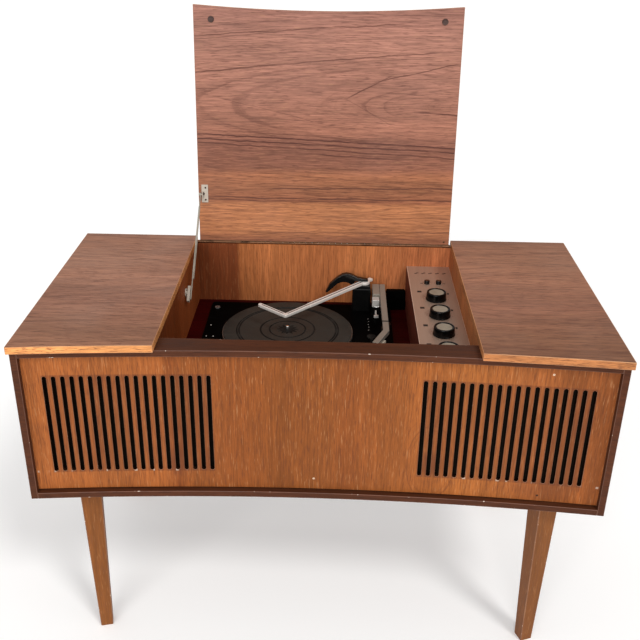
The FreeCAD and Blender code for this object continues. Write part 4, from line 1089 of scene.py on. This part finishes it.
def screw_head(shape: Shape, seat: Vector, facing: Vector, radius: float, rise: float, slot_turn: float) -> None:
    """Adds a domed screw head with a slot.

    Args:
        shape: the mesh being built.
        seat: the middle of its seat.
        facing: the way it looks.
        radius: its radius.
        rise: its height.
        slot_turn: the slot's angle, in radians.
    """
    part = bmesh.new()
    dome = ((1.0, 0.0), (1.0, 0.3), (0.8, 0.8), (0.35, 1.0), (0.0, 1.0))
    revolve(part, [(radius * out, rise * up, 0) for out, up in dome], (0.0, 0.0), 20)
    box(part, (-radius * 0.8, -radius * 0.11, rise * 0.5), (radius * 0.8, radius * 0.11, rise * 1.04), 1,
        Matrix.Rotation(slot_turn, 4, "Z"))
    merge(shape, part, seat, facing)


# ------------------------------------------------------------------ cabinet


@dataclass
class Cabinet(Assembly):
    """The carcass: boards, curved front with its slots, fixed tops, cloths and back."""

    rounding: float = 1.0 * MM
    inner_side: float = 0.5006
    slot_field: tuple[float, float, float, float] = (0.18, 0.47, 0.395, 0.595)
    bruises: tuple[tuple[float, float, int], ...] = ((-0.003, 0.382, 0), (0.3945, 0.618, 0), (0.396, 0.371, 1))
    bruise: tuple[float, float, float] = (2.2 * MM, 0.5 * MM, 0.12 * MM)
    cloth_size: tuple[float, float] = (0.304, 0.216)
    cloth_steps: tuple[int, int] = (38, 27)
    cloth_turn: float = math.radians(3.763)
    cloth_play: float = 0.4 * MM
    screw_gaps: int = 6
    screw_inset: tuple[float, float] = (0.02, 0.012)

    def build(self) -> None:
        """Builds and dresses the cabinet."""
        self.boards()
        self.front()
        self.nicks()
        self.cloths()
        self.back()
        self.report()

    def boards(self) -> None:
        """Side boards, tops, rail and bottom, with rounded and nicked edges."""
        def front_dark(normal: Vector, centre: Vector) -> int:
            """Dark frame on the faces that look forward, down, up or inward, veneer on the rest."""
            return 1 if normal.y < -0.5 or abs(normal.z) > 0.5 or abs(centre.x) < self.inner_side else 0

        def edges_light(normal: Vector, centre: Vector) -> int:
            """Light lipping on upright faces, veneer on the top and underside."""
            return 0 if abs(normal.z) > 0.5 else 1

        for side, face, edge in (("left", TOP_LEFT, EDGE_TEAK), ("right", TOP_RIGHT, EDGE_RIGHT)):
            self.softened("side_panel_" + side, "side_board_" + side, [SIDE_TEAK, DARK_FRAME, DARK_ARRIS],
                          self.rounding, front_dark)
            self.softened("top_" + side, "top_board_" + side, [face, edge, TOP_ARRIS], self.rounding, edges_light)
        for node, name in (("top_rail", "rail_board"), ("bottom_board", "base_board")):
            self.softened(node, name, [DARK_FRAME, DARK_ARRIS], self.rounding)

    def front(self) -> None:
        """Curved front panel, with stained slots."""
        inner, outer, low, high = self.slot_field

        def slot_walls(normal: Vector, centre: Vector) -> int:
            """Painted shade inside the slots."""
            inside = low < centre.z < high and inner < abs(centre.x) < outer
            return 1 if inside and -0.9 < normal.y < 0.9 else 0

        self.softened("front_panel", "slotted_front", [FRONT_TEAK, SLOT_PAINTED_SHADE, LID_ARRIS], 0.3 * MM, slot_walls, 1,
                      60.0)

    def nicks(self) -> None:
        """Two pale bruises and a dark one on the front panel, each a small star of three dashes."""
        shape = bmesh.new()
        length, width, rise = self.bruise
        for x, z, finish in self.bruises:
            found = landing("front_panel", Vector((x, -0.6, z)), Vector((0.0, 1.0, 0.0)))
            if found is None:
                continue
            for step in range(3):
                across = Matrix.Rotation(step * math.pi / 3 + x, 4, "Z")
                box(shape, (-length, -width, 0.0), (length, width, rise), finish,
                    Matrix.Translation(found[0]) @ looking(found[1]) @ across)
        self.add("front_nicks", shape, [BARE_WOOD, RUBBER], "front_panel")

    def cloths(self) -> None:
        """Two speaker cloths, stretched behind the slots."""
        low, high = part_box("grille_cloths")
        width, tall = self.cloth_size
        columns, lines = self.cloth_steps
        for side, sign in (("left", -1.0), ("right", 1.0)):
            outer = Vector((sign * high.x, low.y + self.cloth_play, (low.z + high.z) / 2))
            inner = Vector((outer.x - sign * width * math.cos(self.cloth_turn), high.y - self.cloth_play, outer.z))
            shape = bmesh.new()
            grid = []
            for line in range(lines + 1):
                height = (line / lines - 0.5) * (tall - self.cloth_play)
                grid.append([])
                for column in range(columns + 1):
                    share = column / columns
                    point = outer.lerp(inner, share)
                    wave = 0.08 * MM * math.sin(share * 23.0 + line) * math.sin(line * 0.7)
                    grid[-1].append(shape.verts.new((point.x, point.y + wave, point.z + height)))
            for below, above in zip(grid, grid[1:]):
                for column in range(columns):
                    shape.faces.new((below[column], below[column + 1], above[column + 1], above[column]))
            piece = self.add("speaker_cloth_" + side, shape, [CLOTH], "grille_cloths", ["grille_cloths"], limit=60.0)

    def back(self) -> None:
        """Back cover with its screws, and the parts inside."""
        self.dress({"back_cover": HARDBOARD, "mains_inlet": GLOSS_BLACK, "speaker_baffles": CHIPBOARD,
                    "speaker_left": GREY_PAINT, "speaker_right": GREY_PAINT, "speaker_cones": PAPER,
                    "leg_plates": ZINC})
        low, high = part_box("back_cover")
        side, rim = self.screw_inset
        shape = bmesh.new()
        for step in range(self.screw_gaps + 1):
            x = low.x + side + (high.x - low.x - 2 * side) * step / self.screw_gaps
            for z in (low.z + rim, high.z - rim):
                screw_head(shape, Vector((x, high.y, z)), Vector((0, 1, 0)), 4.0 * MM, 1.8 * MM, 0.4 + step)
        self.add("cover_screws", shape, [STEEL, RUBBER], "leg_plates")


@dataclass
class Legs(Assembly):
    """Four tapered legs, each turned on its stud."""

    rounding: float = 1.6 * MM

    def build(self) -> None:
        """Builds the legs."""
        def shaded_faces(normal: Vector, centre: Vector) -> int:
            """Painted shade on the faces towards the right, the lit colour on the rest."""
            return 1 if normal.x > 0.05 and normal.y < 0.5 else 0

        for place in ("front_left", "front_right", "rear_left", "rear_right"):
            self.softened("leg_" + place, "tapered_leg_" + place, [LEG_TEAK, LEG_PAINTED_SHADE, LEG_ARRIS], self.rounding,
                          shaded_faces)
        self.report()


# ------------------------------------------------------------------ lid


@dataclass
class Lid(Assembly):
    """The lid with its piano hinge, buffers and stay."""

    rounding: float = 0.7 * MM
    buffer_radius: float = 6.2 * MM
    buffer_sunk: float = 0.9 * MM
    half_gap: float = 0.2715
    bead_radius: float = 3.5 * MM
    lip_starts: tuple[tuple[float, float], ...] = ((0.030, 0.9 * MM), (0.110, 1.8 * MM))
    lip_half: float = 1.6 * MM
    lip_foot: float = 0.045
    corner_screw: tuple[float, float] = (0.258, 0.010)

    def build(self) -> None:
        """Builds and dresses the lid."""
        inner_face = Matrix.Rotation(-LEAN, 3, "X") @ Vector((0.0, -1.0, 0.0))

        def lid_faces(normal: Vector, centre: Vector) -> int:
            """Figured veneer on the inner face, plain on the outer face, light lipping on the edges."""
            facing = normal.dot(inner_face)
            return 0 if facing > 0.9 else 1 if facing < -0.9 else 2

        self.softened("lid", "lid_board", [LID_TEAK, LID_FACE, EDGE_TEAK, LID_ARRIS], self.rounding, lid_faces)
        self.dress({"hinge_leaf_fixed": BRASS, "hinge_leaf_lid": BRASS})
        self.softened("stay_bracket", "stay_plate", [STAY_PLASTIC, STAY_PLASTIC], 0.4 * MM)
        self.softened("stay_rod", "stay_bar", [STAY_STEEL, STAY_STEEL], 0.3 * MM)
        self.softened("stay_guide", "stay_runner", [STAY_PLASTIC, STAY_PLASTIC], 0.3 * MM)
        self.buffers(inner_face)
        self.flange()
        self.screws(inner_face)
        self.hinge_ends()
        self.report()

    def hinge_ends(self) -> None:
        """Beads of aged brass in line with the hinge pin, which close the gap beyond its ends."""
        pin = Vector(joint_record("lid_hinge")["pos_m"])
        low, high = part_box("hinge_leaf_fixed")
        shape = bmesh.new()
        for start, end in ((-self.half_gap, low.x), (high.x, self.half_gap)):
            made = bmesh.ops.create_cone(shape, cap_ends=True, segments=20, radius1=self.bead_radius,
                                         radius2=self.bead_radius, depth=end - start)
            move = Matrix.Translation(((start + end) / 2, pin.y, pin.z)) @ Matrix.Rotation(math.pi / 2, 4, "Y")
            bmesh.ops.transform(shape, matrix=move, verts=made["verts"])
            box(shape, (start, pin.y - 2.0 * MM, low.z + 0.1 * MM), (end, pin.y + 4.0 * MM, pin.z - 1.0 * MM))
        self.add("hinge_beads", shape, [BRASS], "hinge_leaf_fixed")

    def buffers(self, facing: Vector) -> None:
        """Two rubber buffers with a sunk screw, on the lid's inner face.

        Args:
            facing: the way the inner face looks.
        """
        low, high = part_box("lid_buffers")
        radius, centre = self.buffer_radius, (low + high) / 2
        outline = ((1.0, 0.0), (1.0, 1.1), (0.88, 1.75), (0.6, 1.75), (0.52, 1.1), (0.3, 1.15), (0.0, 1.2))
        shape = bmesh.new()
        for x in (low.x + radius, high.x - radius):
            part = bmesh.new()
            revolve(part, [(radius * out, up * MM, 0) for out, up in outline], (0.0, 0.0), 32)
            merge(shape, part, Vector((x, centre.y, centre.z)) - facing * self.buffer_sunk, facing)
        self.add("buffer_pads", shape, [BUFFER_RUBBER], "lid_buffers", ["lid_buffers"])

    def flange(self) -> None:
        """Rolled edges of the stay bar, which make it stiff and broad below its pivot."""
        low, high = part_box("stay_rod")
        pivot = Vector(joint_record("stay_pivot")["pos_m"])
        run = Vector((pivot.x, low.y + 2.0 * MM, low.z + 2.0 * MM)) - pivot
        across = Vector((1.0, 0.0, 0.0))
        turn = Matrix((across, run.normalized(), across.cross(run.normalized()))).transposed().to_4x4()
        shape = bmesh.new()
        for start, lip in self.lip_starts:
            box(shape, (low.x - 0.6 * MM - pivot.x, start, -self.lip_half),
                (high.x + lip - pivot.x, run.length - self.lip_foot, self.lip_half), 0,
                Matrix.Translation(pivot) @ turn)
        self.add("stay_flange", shape, [STAY_STEEL], "stay_rod")

    def screws(self, facing: Vector) -> None:
        """Dark screws and pivot of the stay plate, and a screw in the lid's lower right corner.

        Args:
            facing: the way the inner face looks.
        """
        low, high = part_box("stay_bracket")
        depth = (low.y + high.y) / 2
        seats = [(Vector((high.x - 5.5 * MM, depth, z)), 2.0 * MM, 0.7 * MM, 0.9)
                 for z in (high.z - 6.0 * MM, low.z + 6.0 * MM)]
        seats.append((Vector((low.x + 9.5 * MM, depth, (low.z + high.z) / 2)), 3.0 * MM, 0.7 * MM, 0.4))
        upward = Matrix.Rotation(-LEAN, 3, "X") @ Vector((0.0, 0.0, 1.0))
        corner = Vector(joint_record("lid_hinge")["pos_m"]) + Vector((self.corner_screw[0], 0.0, 0.0))
        corner += upward * self.corner_screw[1]
        for name, node, places, finish in (("stay_screws", "stay_bracket", seats, BUFFER_RUBBER),
                                           ("lid_screws", "lid", [(corner, 2.2 * MM, 0.6 * MM, 0.3)], BRASS)):
            shape = bmesh.new()
            for place, radius, rise, turn in places:
                found = landing(node, place + facing * 0.08, -facing)
                if found:
                    screw_head(shape, found[0], facing, radius, rise, turn)
            self.add(name, shape, [finish, RUBBER], node)


# ------------------------------------------------------------------ well and controls


@dataclass
class Well(Assembly):
    """The sunken well: its walls and the motor board."""

    def build(self) -> None:
        """Dresses the well."""
        self.dress({"well_wall_back": BACK_TEAK, "well_wall_left": LEFT_TEAK_PAINTED_SHADE, "well_wall_right": WALL_TEAK,
                    "well_wall_front": DARK_FRAME, "control_cheek": CHEEK_PAINTED_SHADE, "motor_board": DECK_BOARD})
        self.report()


@dataclass
class Controls(Assembly):
    """The control plate with four knobs, two buttons and plain marks."""

    knobs: tuple[str, ...] = ("volume_knob", "bass_knob", "treble_knob", "balance_knob")
    cap_radius: float = 14.6 * MM
    mark_rise: float = 0.12 * MM
    dash_size: tuple[float, float] = (4.5 * MM, 3.2 * MM)
    dash_pitch: float = 14.5 * MM
    dash_shift: tuple[float, float] = (4.0 * MM, 2.8 * MM)
    dot_size: float = 1.0 * MM
    dot_radius: float = 24.5 * MM
    dot_count: int = 11

    def build(self) -> None:
        """Builds and dresses the controls."""
        def rim(normal: Vector, centre: Vector) -> int:
            """Bright metal on the plate's cut edges, lightened further as a painted highlight."""
            return 0 if abs(normal.z) > 0.5 else 1

        self.softened("control_panel", "control_plate", [CHAMPAGNE, CHAMPAGNE_EDGE_HIGHLIGHT, CHAMPAGNE_EDGE_HIGHLIGHT], 0.9 * MM, rim)
        for node in self.knobs:
            self.knob(node)
        for node in ("power_button", "mono_button"):
            self.button(node)
        self.marks()
        self.dress({"amplifier_chassis": ZINC, "mains_transformer": STEEL, "potentiometers": ZINC})
        self.report()

    def knob(self, node: str) -> None:
        """A black knob with a turned cap.

        Args:
            node: the frame node that it stands for.
        """
        low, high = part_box(node)
        radius, top, cap = (high.x - low.x) / 2, high.z, self.cap_radius
        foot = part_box("control_panel")[1].z + 0.6 * MM
        profile = [
            *rows(0.0, low.z, (0.0, 0.0, 0), (3.0, 0.0, 0)), *rows(0.0, foot, (3.0, 0.0, 0)),
            *rows(radius, foot, (-0.8, 0.0, 0), (0.0, 0.8, 0), (0.0, 1.8, 0), (-0.6, 2.4, 0)),
            *rows(radius, top, (-1.2, -2.0, 0), (-1.5, -0.8, 0), (-2.1, 0.0, 0)),
            *rows(cap, top, (1.2, 0.0, 0), (0.3, -1.2, 0), (0.0, -1.2, 1), (-0.3, -0.9, 1), (-1.2, -0.8, 1)),
            (cap * 0.5, top - 0.72 * MM, 1), (0.0, top - 0.7 * MM, 1),
        ]
        turned_cap = Metal("turned_cap_" + node, (0.38, 0.33, 0.25), 0.4, centre=tuple(middle(node).xy), brush=0.25,
                           metallic=0.4, tarnish=0.3)
        self.turned(node, node + "_turned", profile, [KNOB_BLACK, turned_cap], 72)

    def button(self, node: str) -> None:
        """A round push button with a dished bright top.

        Args:
            node: the frame node that it stands for.
        """
        low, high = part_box(node)
        radius, top = (high.x - low.x) / 2, high.z
        profile = [(0.0, low.z, 0), (radius, low.z, 0),
                   *rows(radius, top, (0.0, -0.8, 0), (-0.3, -0.2, 0), (-0.9, 0.0, 0), (-1.8, 0.0, 1), (-2.2, -0.4, 1)),
                   (0.0, top - 0.55 * MM, 1)]
        self.turned(node, node + "_turned", profile, [GLOSS_BLACK, BRASS], 40)

    def marks(self) -> None:
        """Plain printed dashes and dots on the plate."""
        shape = bmesh.new()
        low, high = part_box("control_panel")

        def dash(x: float, y: float, width: float, depth: float) -> None:
            """Prints a dash from its lower left corner."""
            box(shape, (x, y, high.z), (x + width, y + depth, high.z + self.mark_rise))

        for number in range(5):
            x, y = low.x + 0.014 + self.dash_pitch * number, high.y - 0.041
            dash(x, y, *self.dash_size)
            dash(x + self.dash_shift[0], y + self.dash_shift[1], *self.dash_size)
        for node in self.knobs:
            knob = middle(node)
            dash(low.x + 0.013, knob.y + 0.032, 0.0085, 0.008)
            dash(knob.x + 0.0245, knob.y + 0.024, 0.004, 0.007)
            for step in range(self.dot_count):
                turn = math.radians(240.0 - 30.0 * step)
                dash(knob.x + self.dot_radius * math.cos(turn) - self.dot_size / 2,
                     knob.y + self.dot_radius * math.sin(turn) - self.dot_size / 2, self.dot_size, self.dot_size)
        for node, shift in (("power_button", -0.0135), ("mono_button", 0.0085)):
            button = middle(node)
            dash(button.x + shift, button.y - 0.0012, 0.0055, 0.0024)
        self.add("control_marks", shape, [MARKING], "control_panel")


# ------------------------------------------------------------------ record deck


@dataclass
class Turntable(Assembly):
    """Unit plate, platter, mat, spindle and the drive under it."""

    rings: tuple[float, ...] = (0.79, 0.755, 0.42, 0.28)
    star_points: int = 12
    star_reach: tuple[float, float] = (22.5 * MM, 13.5 * MM)
    lead_width: float = 0.042
    lead_steps: tuple[tuple[float, float, float], ...] = ((0.0155, 0.0005, 0.036), (0.034, 0.0157, 0.020))
    screw_radius: float = 5.5 * MM
    rivets: tuple[tuple[float, float], ...] = ((0.011, 0.196), (0.008, 0.146), (0.022, 0.146))

    def build(self) -> None:
        """Builds and dresses the turntable."""
        self.softened("unit_plate", "deck_plate", [DECK_BLACK, DECK_BLACK], 0.8 * MM, steps=3)
        self.dress({"platter": PLATTER_RIM})
        self.mat()
        self.spindle()
        self.dress({"deck_motor": STEEL, "motor_pulley": BRIGHT_BRASS, "idler_wheel": RUBBER, "deck_springs": STEEL})
        self.lead_box()
        self.screws()
        self.report()

    def lead_box(self) -> None:
        """Stepped black cover over the leads, in the rear right corner of the motor board."""
        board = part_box("motor_board")[1].z
        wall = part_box("well_wall_back")[0].y
        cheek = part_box("control_cheek")[0].x
        shape = bmesh.new()
        for front, rear, rise in self.lead_steps:
            box(shape, (cheek - self.lead_width, wall - front, board), (cheek - 1.0 * MM, wall - rear, board + rise))
        bmesh.ops.bevel(shape, geom=shape.edges[:], offset=1.5 * MM, segments=3, affect="EDGES")
        self.add("lead_box", shape, [DECK_BLACK], "unit_plate")

    def mat(self) -> None:
        """Ribbed rubber mat with ring grooves and a star round the hub."""
        low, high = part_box("platter_mat")
        radius, top, bottom = (high.x - low.x) / 2, high.z, low.z
        profile = [(15.0 * MM, bottom, 0), *rows(radius, bottom, (-0.4, 0.0, 0), (0.0, 0.6, 0)),
                   *rows(radius, top, (-0.2, -0.7, 0), (-1.2, 0.0, 0))]
        for share in self.rings:
            profile += rows(radius * share, top, (1.7, 0.0, 1), (1.0, -0.9, 1), (-1.0, -0.9, 1), (-1.7, 0.0, 0))
        profile += rows(0.0, top, (16.0, 0.0, 0), (15.0, -0.6, 0)) + [(15.0 * MM, bottom, 0)]
        self.turned("platter_mat", "ribbed_mat", profile, [MAT_RUBBER, RUBBER], 128)
        hub = middle("platter_mat")
        outline = []
        for step in range(2 * self.star_points):
            reach, turn = self.star_reach[step % 2], math.pi * step / self.star_points
            outline.append((hub.x + reach * math.cos(turn), hub.y + reach * math.sin(turn)))
        shape = bmesh.new()
        lower, upper = ([shape.verts.new((x, y, height)) for x, y in outline]
                        for height in (top - 0.3 * MM, top + 0.25 * MM))
        shape.faces.new(upper)
        shape.faces.new(list(reversed(lower)))
        for step in range(len(outline)):
            after = (step + 1) % len(outline)
            shape.faces.new((lower[step], lower[after], upper[after], upper[step]))
        self.add("hub_star", shape, [RUBBER], "platter_mat")

    def spindle(self) -> None:
        """Polished record spindle with a rounded tip."""
        low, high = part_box("spindle")
        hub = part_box("platter")[1].z + 0.3 * MM
        profile = [
            *rows(0.0, low.z, (0.0, 0.0, 0), (12.0, 0.0, 0), (12.0, 6.0, 0), (6.0, 6.0, 0), (6.0, 10.0, 0),
                  (4.2, 10.0, 0)),
            *rows(0.0, hub, (4.2, 0.0, 0), (3.55, 0.0, 0)),
            *rows(0.0, high.z, (3.55, -1.7, 0), (3.1, -0.8, 0), (2.1, -0.2, 0), (0.0, 0.0, 0)),
        ]
        self.turned("spindle", "polished_spindle", profile, [CHROME], 40)

    def screws(self) -> None:
        """Slots of the transit screws, and three pale rivets on the plate."""
        self.dress({"transit_screws": ZINC})
        low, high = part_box("transit_screws")
        shape = bmesh.new()
        for x in (low.x + self.screw_radius, high.x - self.screw_radius):
            for y in (low.y + self.screw_radius, high.y - self.screw_radius):
                box(shape, (-4.5 * MM, -0.6 * MM, 0.0), (4.5 * MM, 0.6 * MM, 0.12 * MM), 0,
                    Matrix.Translation((x, y, high.z)) @ Matrix.Rotation(x + y * 9, 4, "Z"))
        self.add("screw_slots", shape, [RUBBER], "transit_screws")
        low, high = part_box("unit_plate")
        profile = rows(0.0, high.z, (1.6, 0.0, 0), (1.4, 0.5, 0), (0.0, 0.8, 0))
        shape = bmesh.new()
        for x, y in self.rivets:
            revolve(shape, profile, (low.x + x, low.y + y), 16)
        self.add("deck_rivets", shape, [PALE_MARKING], "unit_plate")


@dataclass
class Tonearm(Assembly):
    """The tonearm with its yoke, shell, rest, cueing lever and marks."""

    collar_play: float = 0.4 * MM
    arm_width: float = 12.0 * MM
    arm_under: float = 557.0 * MM
    yoke_split: float = 0.5465

    def build(self) -> None:
        """Builds and dresses the tonearm."""
        def upper_silver(normal: Vector, centre: Vector) -> int:
            """Silver on the block between the arm's cheeks, black on the drum below it."""
            return 0 if centre.z > self.yoke_split else 1

        self.softened("tonearm_yoke", "arm_yoke", [SILVER, GLOSS_BLACK, CHROME], 0.5 * MM, upper_silver)
        self.softened("tonearm", "arm_tube", [ARM_PAINT, ARM_PAINT], 0.7 * MM, steps=3)
        self.softened("cartridge_shell", "head_shell", [SHELL, SHELL], 0.5 * MM)
        self.softened("arm_rest", "rest_clip", [GLOSS_BLACK, GLOSS_BLACK], 0.4 * MM)
        self.collar()
        self.softened("speed_lever", "speed_knob", [RUBBER, RUBBER], 0.4 * MM)
        self.lever()
        self.marks()
        self.report()

    def collar(self) -> None:
        """Dark ring between the straight arm and its bent head."""
        rest, arm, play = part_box("arm_rest")[1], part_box("tonearm")[1], self.collar_play
        shape = bmesh.new()
        box(shape, (arm.x - self.arm_width - play, rest.y + 2.0 * MM, self.arm_under - play),
            (arm.x + play, rest.y + 6.0 * MM, arm.z + play))
        self.add("head_collar", shape, [RUBBER], "tonearm")

    def lever(self) -> None:
        """A small bright cueing lever in front of the yoke."""
        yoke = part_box("tonearm_yoke")[0]
        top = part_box("unit_plate")[1].z
        x, y = yoke.x + 0.008, yoke.y - 0.016
        shape = bmesh.new()
        revolve(shape, rows(0.0, top, (4.0, 0.0, 0), (4.0, 18.0, 0), (3.0, 19.0, 0), (1.6, 19.2, 1), (1.6, 27.0, 1),
                            (0.0, 27.6, 1)), (x, y), 24)
        for half, front, rear, low, high in ((1.5, 20.0, 0.0, 23.5, 25.5), (4.5, 26.0, 20.0, 22.5, 26.5)):
            box(shape, (x - half * MM, y - front * MM, top + low * MM),
                (x + half * MM, y - rear * MM, top + high * MM), 1)
        self.add("cueing_lever", shape, [GLOSS_BLACK, SILVER], "arm_rest")

    def marks(self) -> None:
        """Pale dots printed beside the speed lever."""
        shape = bmesh.new()
        lever = middle("speed_lever")
        dot = rows(0.0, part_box("unit_plate")[1].z, (1.0, 0.0, 0), (1.0, 0.15, 0), (0.0, 0.15, 0))
        for step in range(5):
            revolve(shape, dot, (lever.x - 0.005 + 0.001 * (step % 2), lever.y + 0.044 + 0.013 * step), 14)
        self.add("speed_marks", shape, [PALE_MARKING], "unit_plate")


@dataclass
class RecordArm(Assembly):
    """The overarm that steadies records, with its pillar, post, handle and clamp."""

    elbow_reach: float = 0.159
    tip_reach: float = 0.1275
    half_limb: float = 4.5 * MM
    line_half: float = 1.1 * MM
    rail: tuple[float, float] = (4.2 * MM, 5.8 * MM)
    rail_share: float = 0.72

    def build(self) -> None:
        """Builds and dresses the overarm."""
        self.softened("overarm_pillar", "arm_pillar", [GLOSS_BLACK, GLOSS_BLACK], 1.2 * MM, steps=3)
        self.dress({"overarm_post": CHROME})
        self.softened("overarm", "steadying_arm", [STRIP, STRIP], 1.0 * MM, steps=3)
        self.softened("overarm_handle", "lifting_handle", [GLOSS_BLACK, GLOSS_BLACK], 1.8 * MM, steps=4, limit=50.0)
        self.clamp()
        self.groove()
        self.web()
        self.report()

    def clamp(self) -> None:
        """Bright end cap and screw over the post."""
        shape = bmesh.new()
        profile = rows(0.0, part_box("overarm")[1].z, (3.4, 0.0, 0), (3.4, 1.2, 0), (2.8, 1.6, 0), (1.4, 1.6, 1),
                       (1.2, 1.1, 1), (0.0, 1.1, 1))
        revolve(shape, profile, middle("overarm_post"), 32)
        self.add("hub_cap", shape, [CHROME, STEEL], "overarm")

    def groove(self) -> None:
        """Painted shade of a pressed groove, as a dark strip along the middle of both limbs, and the folded sides of
        the long one.
        """
        low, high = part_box("overarm")
        post = middle("overarm_post")
        hub = Vector((post.x, post.y, high.z))
        elbow = Vector((hub.x - self.elbow_reach, low.y + self.half_limb, high.z))
        tip = Vector((low.x + self.half_limb, hub.y - self.tip_reach, high.z))
        shape = bmesh.new()
        for start, lead in ((hub, -6.0 * MM), (tip, 4.0 * MM)):
            run = elbow - start
            turn = Matrix.Translation(start) @ Matrix.Rotation(math.atan2(run.y, run.x), 4, "Z")
            # Painted shade: a thin dark strip stands for the shade inside the groove.
            box(shape, (lead, -self.line_half, 0.0), (run.length - 6.0 * MM, self.line_half, 0.1 * MM), 0, turn)
            if start is hub:
                for side in (-1, 1):
                    inner, outer = sorted(side * edge for edge in self.rail)
                    box(shape, (lead, inner, -5.0 * MM), (run.length * self.rail_share, outer, -0.4 * MM), 1, turn)
        self.add("arm_groove", shape, [MARKING, STRIP], "overarm")

    def web(self) -> None:
        """Black casting between the pillar and the overarm, which lifts with the post."""
        low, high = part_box("overarm_pillar")
        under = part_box("overarm")[0].z
        shape = bmesh.new()
        box(shape, (low.x + 0.006, low.y + 0.004, high.z + 0.0004), (high.x - 0.001, high.y - 0.003, under - 0.0006))
        bmesh.ops.bevel(shape, geom=shape.edges[:], offset=0.8 * MM, segments=2, affect="EDGES")
        self.add("arm_web", shape, [GLOSS_BLACK], "overarm_pillar", body=node_body("overarm_post"))


# ------------------------------------------------------------------ studio


@dataclass
class Studio:
    """Floor, lights and camera."""

    eye: Colour = (0.0263, -1.5567, 1.3477)
    pitch: float = 26.23
    yaw: float = 2.16
    roll: float = 0.387
    lens: float = 49.85
    shift: float = 0.0256
    half_floor: float = 30.0
    sky: float = 0.52

    def build(self) -> None:
        """Builds the studio."""
        self.floor()
        self.light("key_light", (1.5, -2.0, 2.8), 1.1, 14.0)
        self.light("front_light", (-0.8, -3.0, 1.3), 1.7, 40.0)
        self.world()
        self.camera()

    def floor(self) -> None:
        """A wide pale floor."""
        half = self.half_floor
        shape = bmesh.new()
        corners = ((-half, -half), (half, -half), (half, half), (-half, half))
        shape.faces.new([shape.verts.new((x, y, 0.0)) for x, y in corners])
        item = bpy.data.objects.new("floor", finished_mesh(shape, "floor", 30.0))
        bpy.context.scene.collection.objects.link(item)
        item.data.materials.append(Ground().material())

    def light(self, name: str, place: Colour, power: float, spread: float) -> None:
        """Adds a soft light that is even over the floor.

        Args:
            name: the light's name.
            place: where it shines from, as seen from the floor's middle.
            power: its strength, in watts per square metre.
            spread: its width as seen from the floor, in degrees.
        """
        lamp = bpy.data.lights.new(name, "SUN")
        lamp.energy = power
        lamp.angle = math.radians(spread)
        lamp.color = (1.0, 0.985, 0.965)
        item = bpy.data.objects.new(name, lamp)
        item.location = place
        item.rotation_euler = (-Vector(place)).to_track_quat("-Z", "Y").to_euler()
        bpy.context.scene.collection.objects.link(item)

    def world(self) -> None:
        """An even pale sky."""
        world = bpy.data.worlds.new("studio_sky")
        world.use_nodes = True
        background = world.node_tree.nodes["Background"]
        background.inputs[0].default_value = (1.0, 1.0, 1.0, 1.0)
        background.inputs[1].default_value = self.sky
        bpy.context.scene.world = world
        bpy.context.scene.view_settings.view_transform = "Standard"

    def camera(self) -> None:
        """The camera, at the height of a standing person's chest."""
        lens = bpy.data.cameras.new("camera")
        lens.lens = self.lens
        lens.sensor_width = 36.0
        lens.shift_x = self.shift
        item = bpy.data.objects.new("camera", lens)
        bpy.context.scene.collection.objects.link(item)
        pitch, yaw, roll = (math.radians(angle) for angle in (self.pitch, self.yaw, self.roll))
        right = Vector((math.cos(yaw), math.sin(yaw), 0.0))
        ahead = Vector((-math.sin(yaw), math.cos(yaw), 0.0))
        look = ahead * math.cos(pitch) - Vector((0.0, 0.0, math.sin(pitch)))
        rise = ahead * math.sin(pitch) + Vector((0.0, 0.0, math.cos(pitch)))
        axis_x = right * math.cos(roll) + rise * math.sin(roll)
        axis_y = -right * math.sin(roll) + rise * math.cos(roll)
        turn = Matrix((axis_x, axis_y, -look)).transposed().to_4x4()
        item.matrix_world = Matrix.Translation(self.eye) @ turn
        bpy.context.scene.camera = item


def main() -> None:
    """Builds every sub-assembly and the studio."""
    logging.basicConfig(level=logging.INFO, format="%(message)s")
    for assembly in (Cabinet(), Legs(), Lid(), Well(), Controls(), Turntable(), Tonearm(), RecordArm()):
        assembly.build()
    Studio().build()


if __name__ == "__main__":
    main()
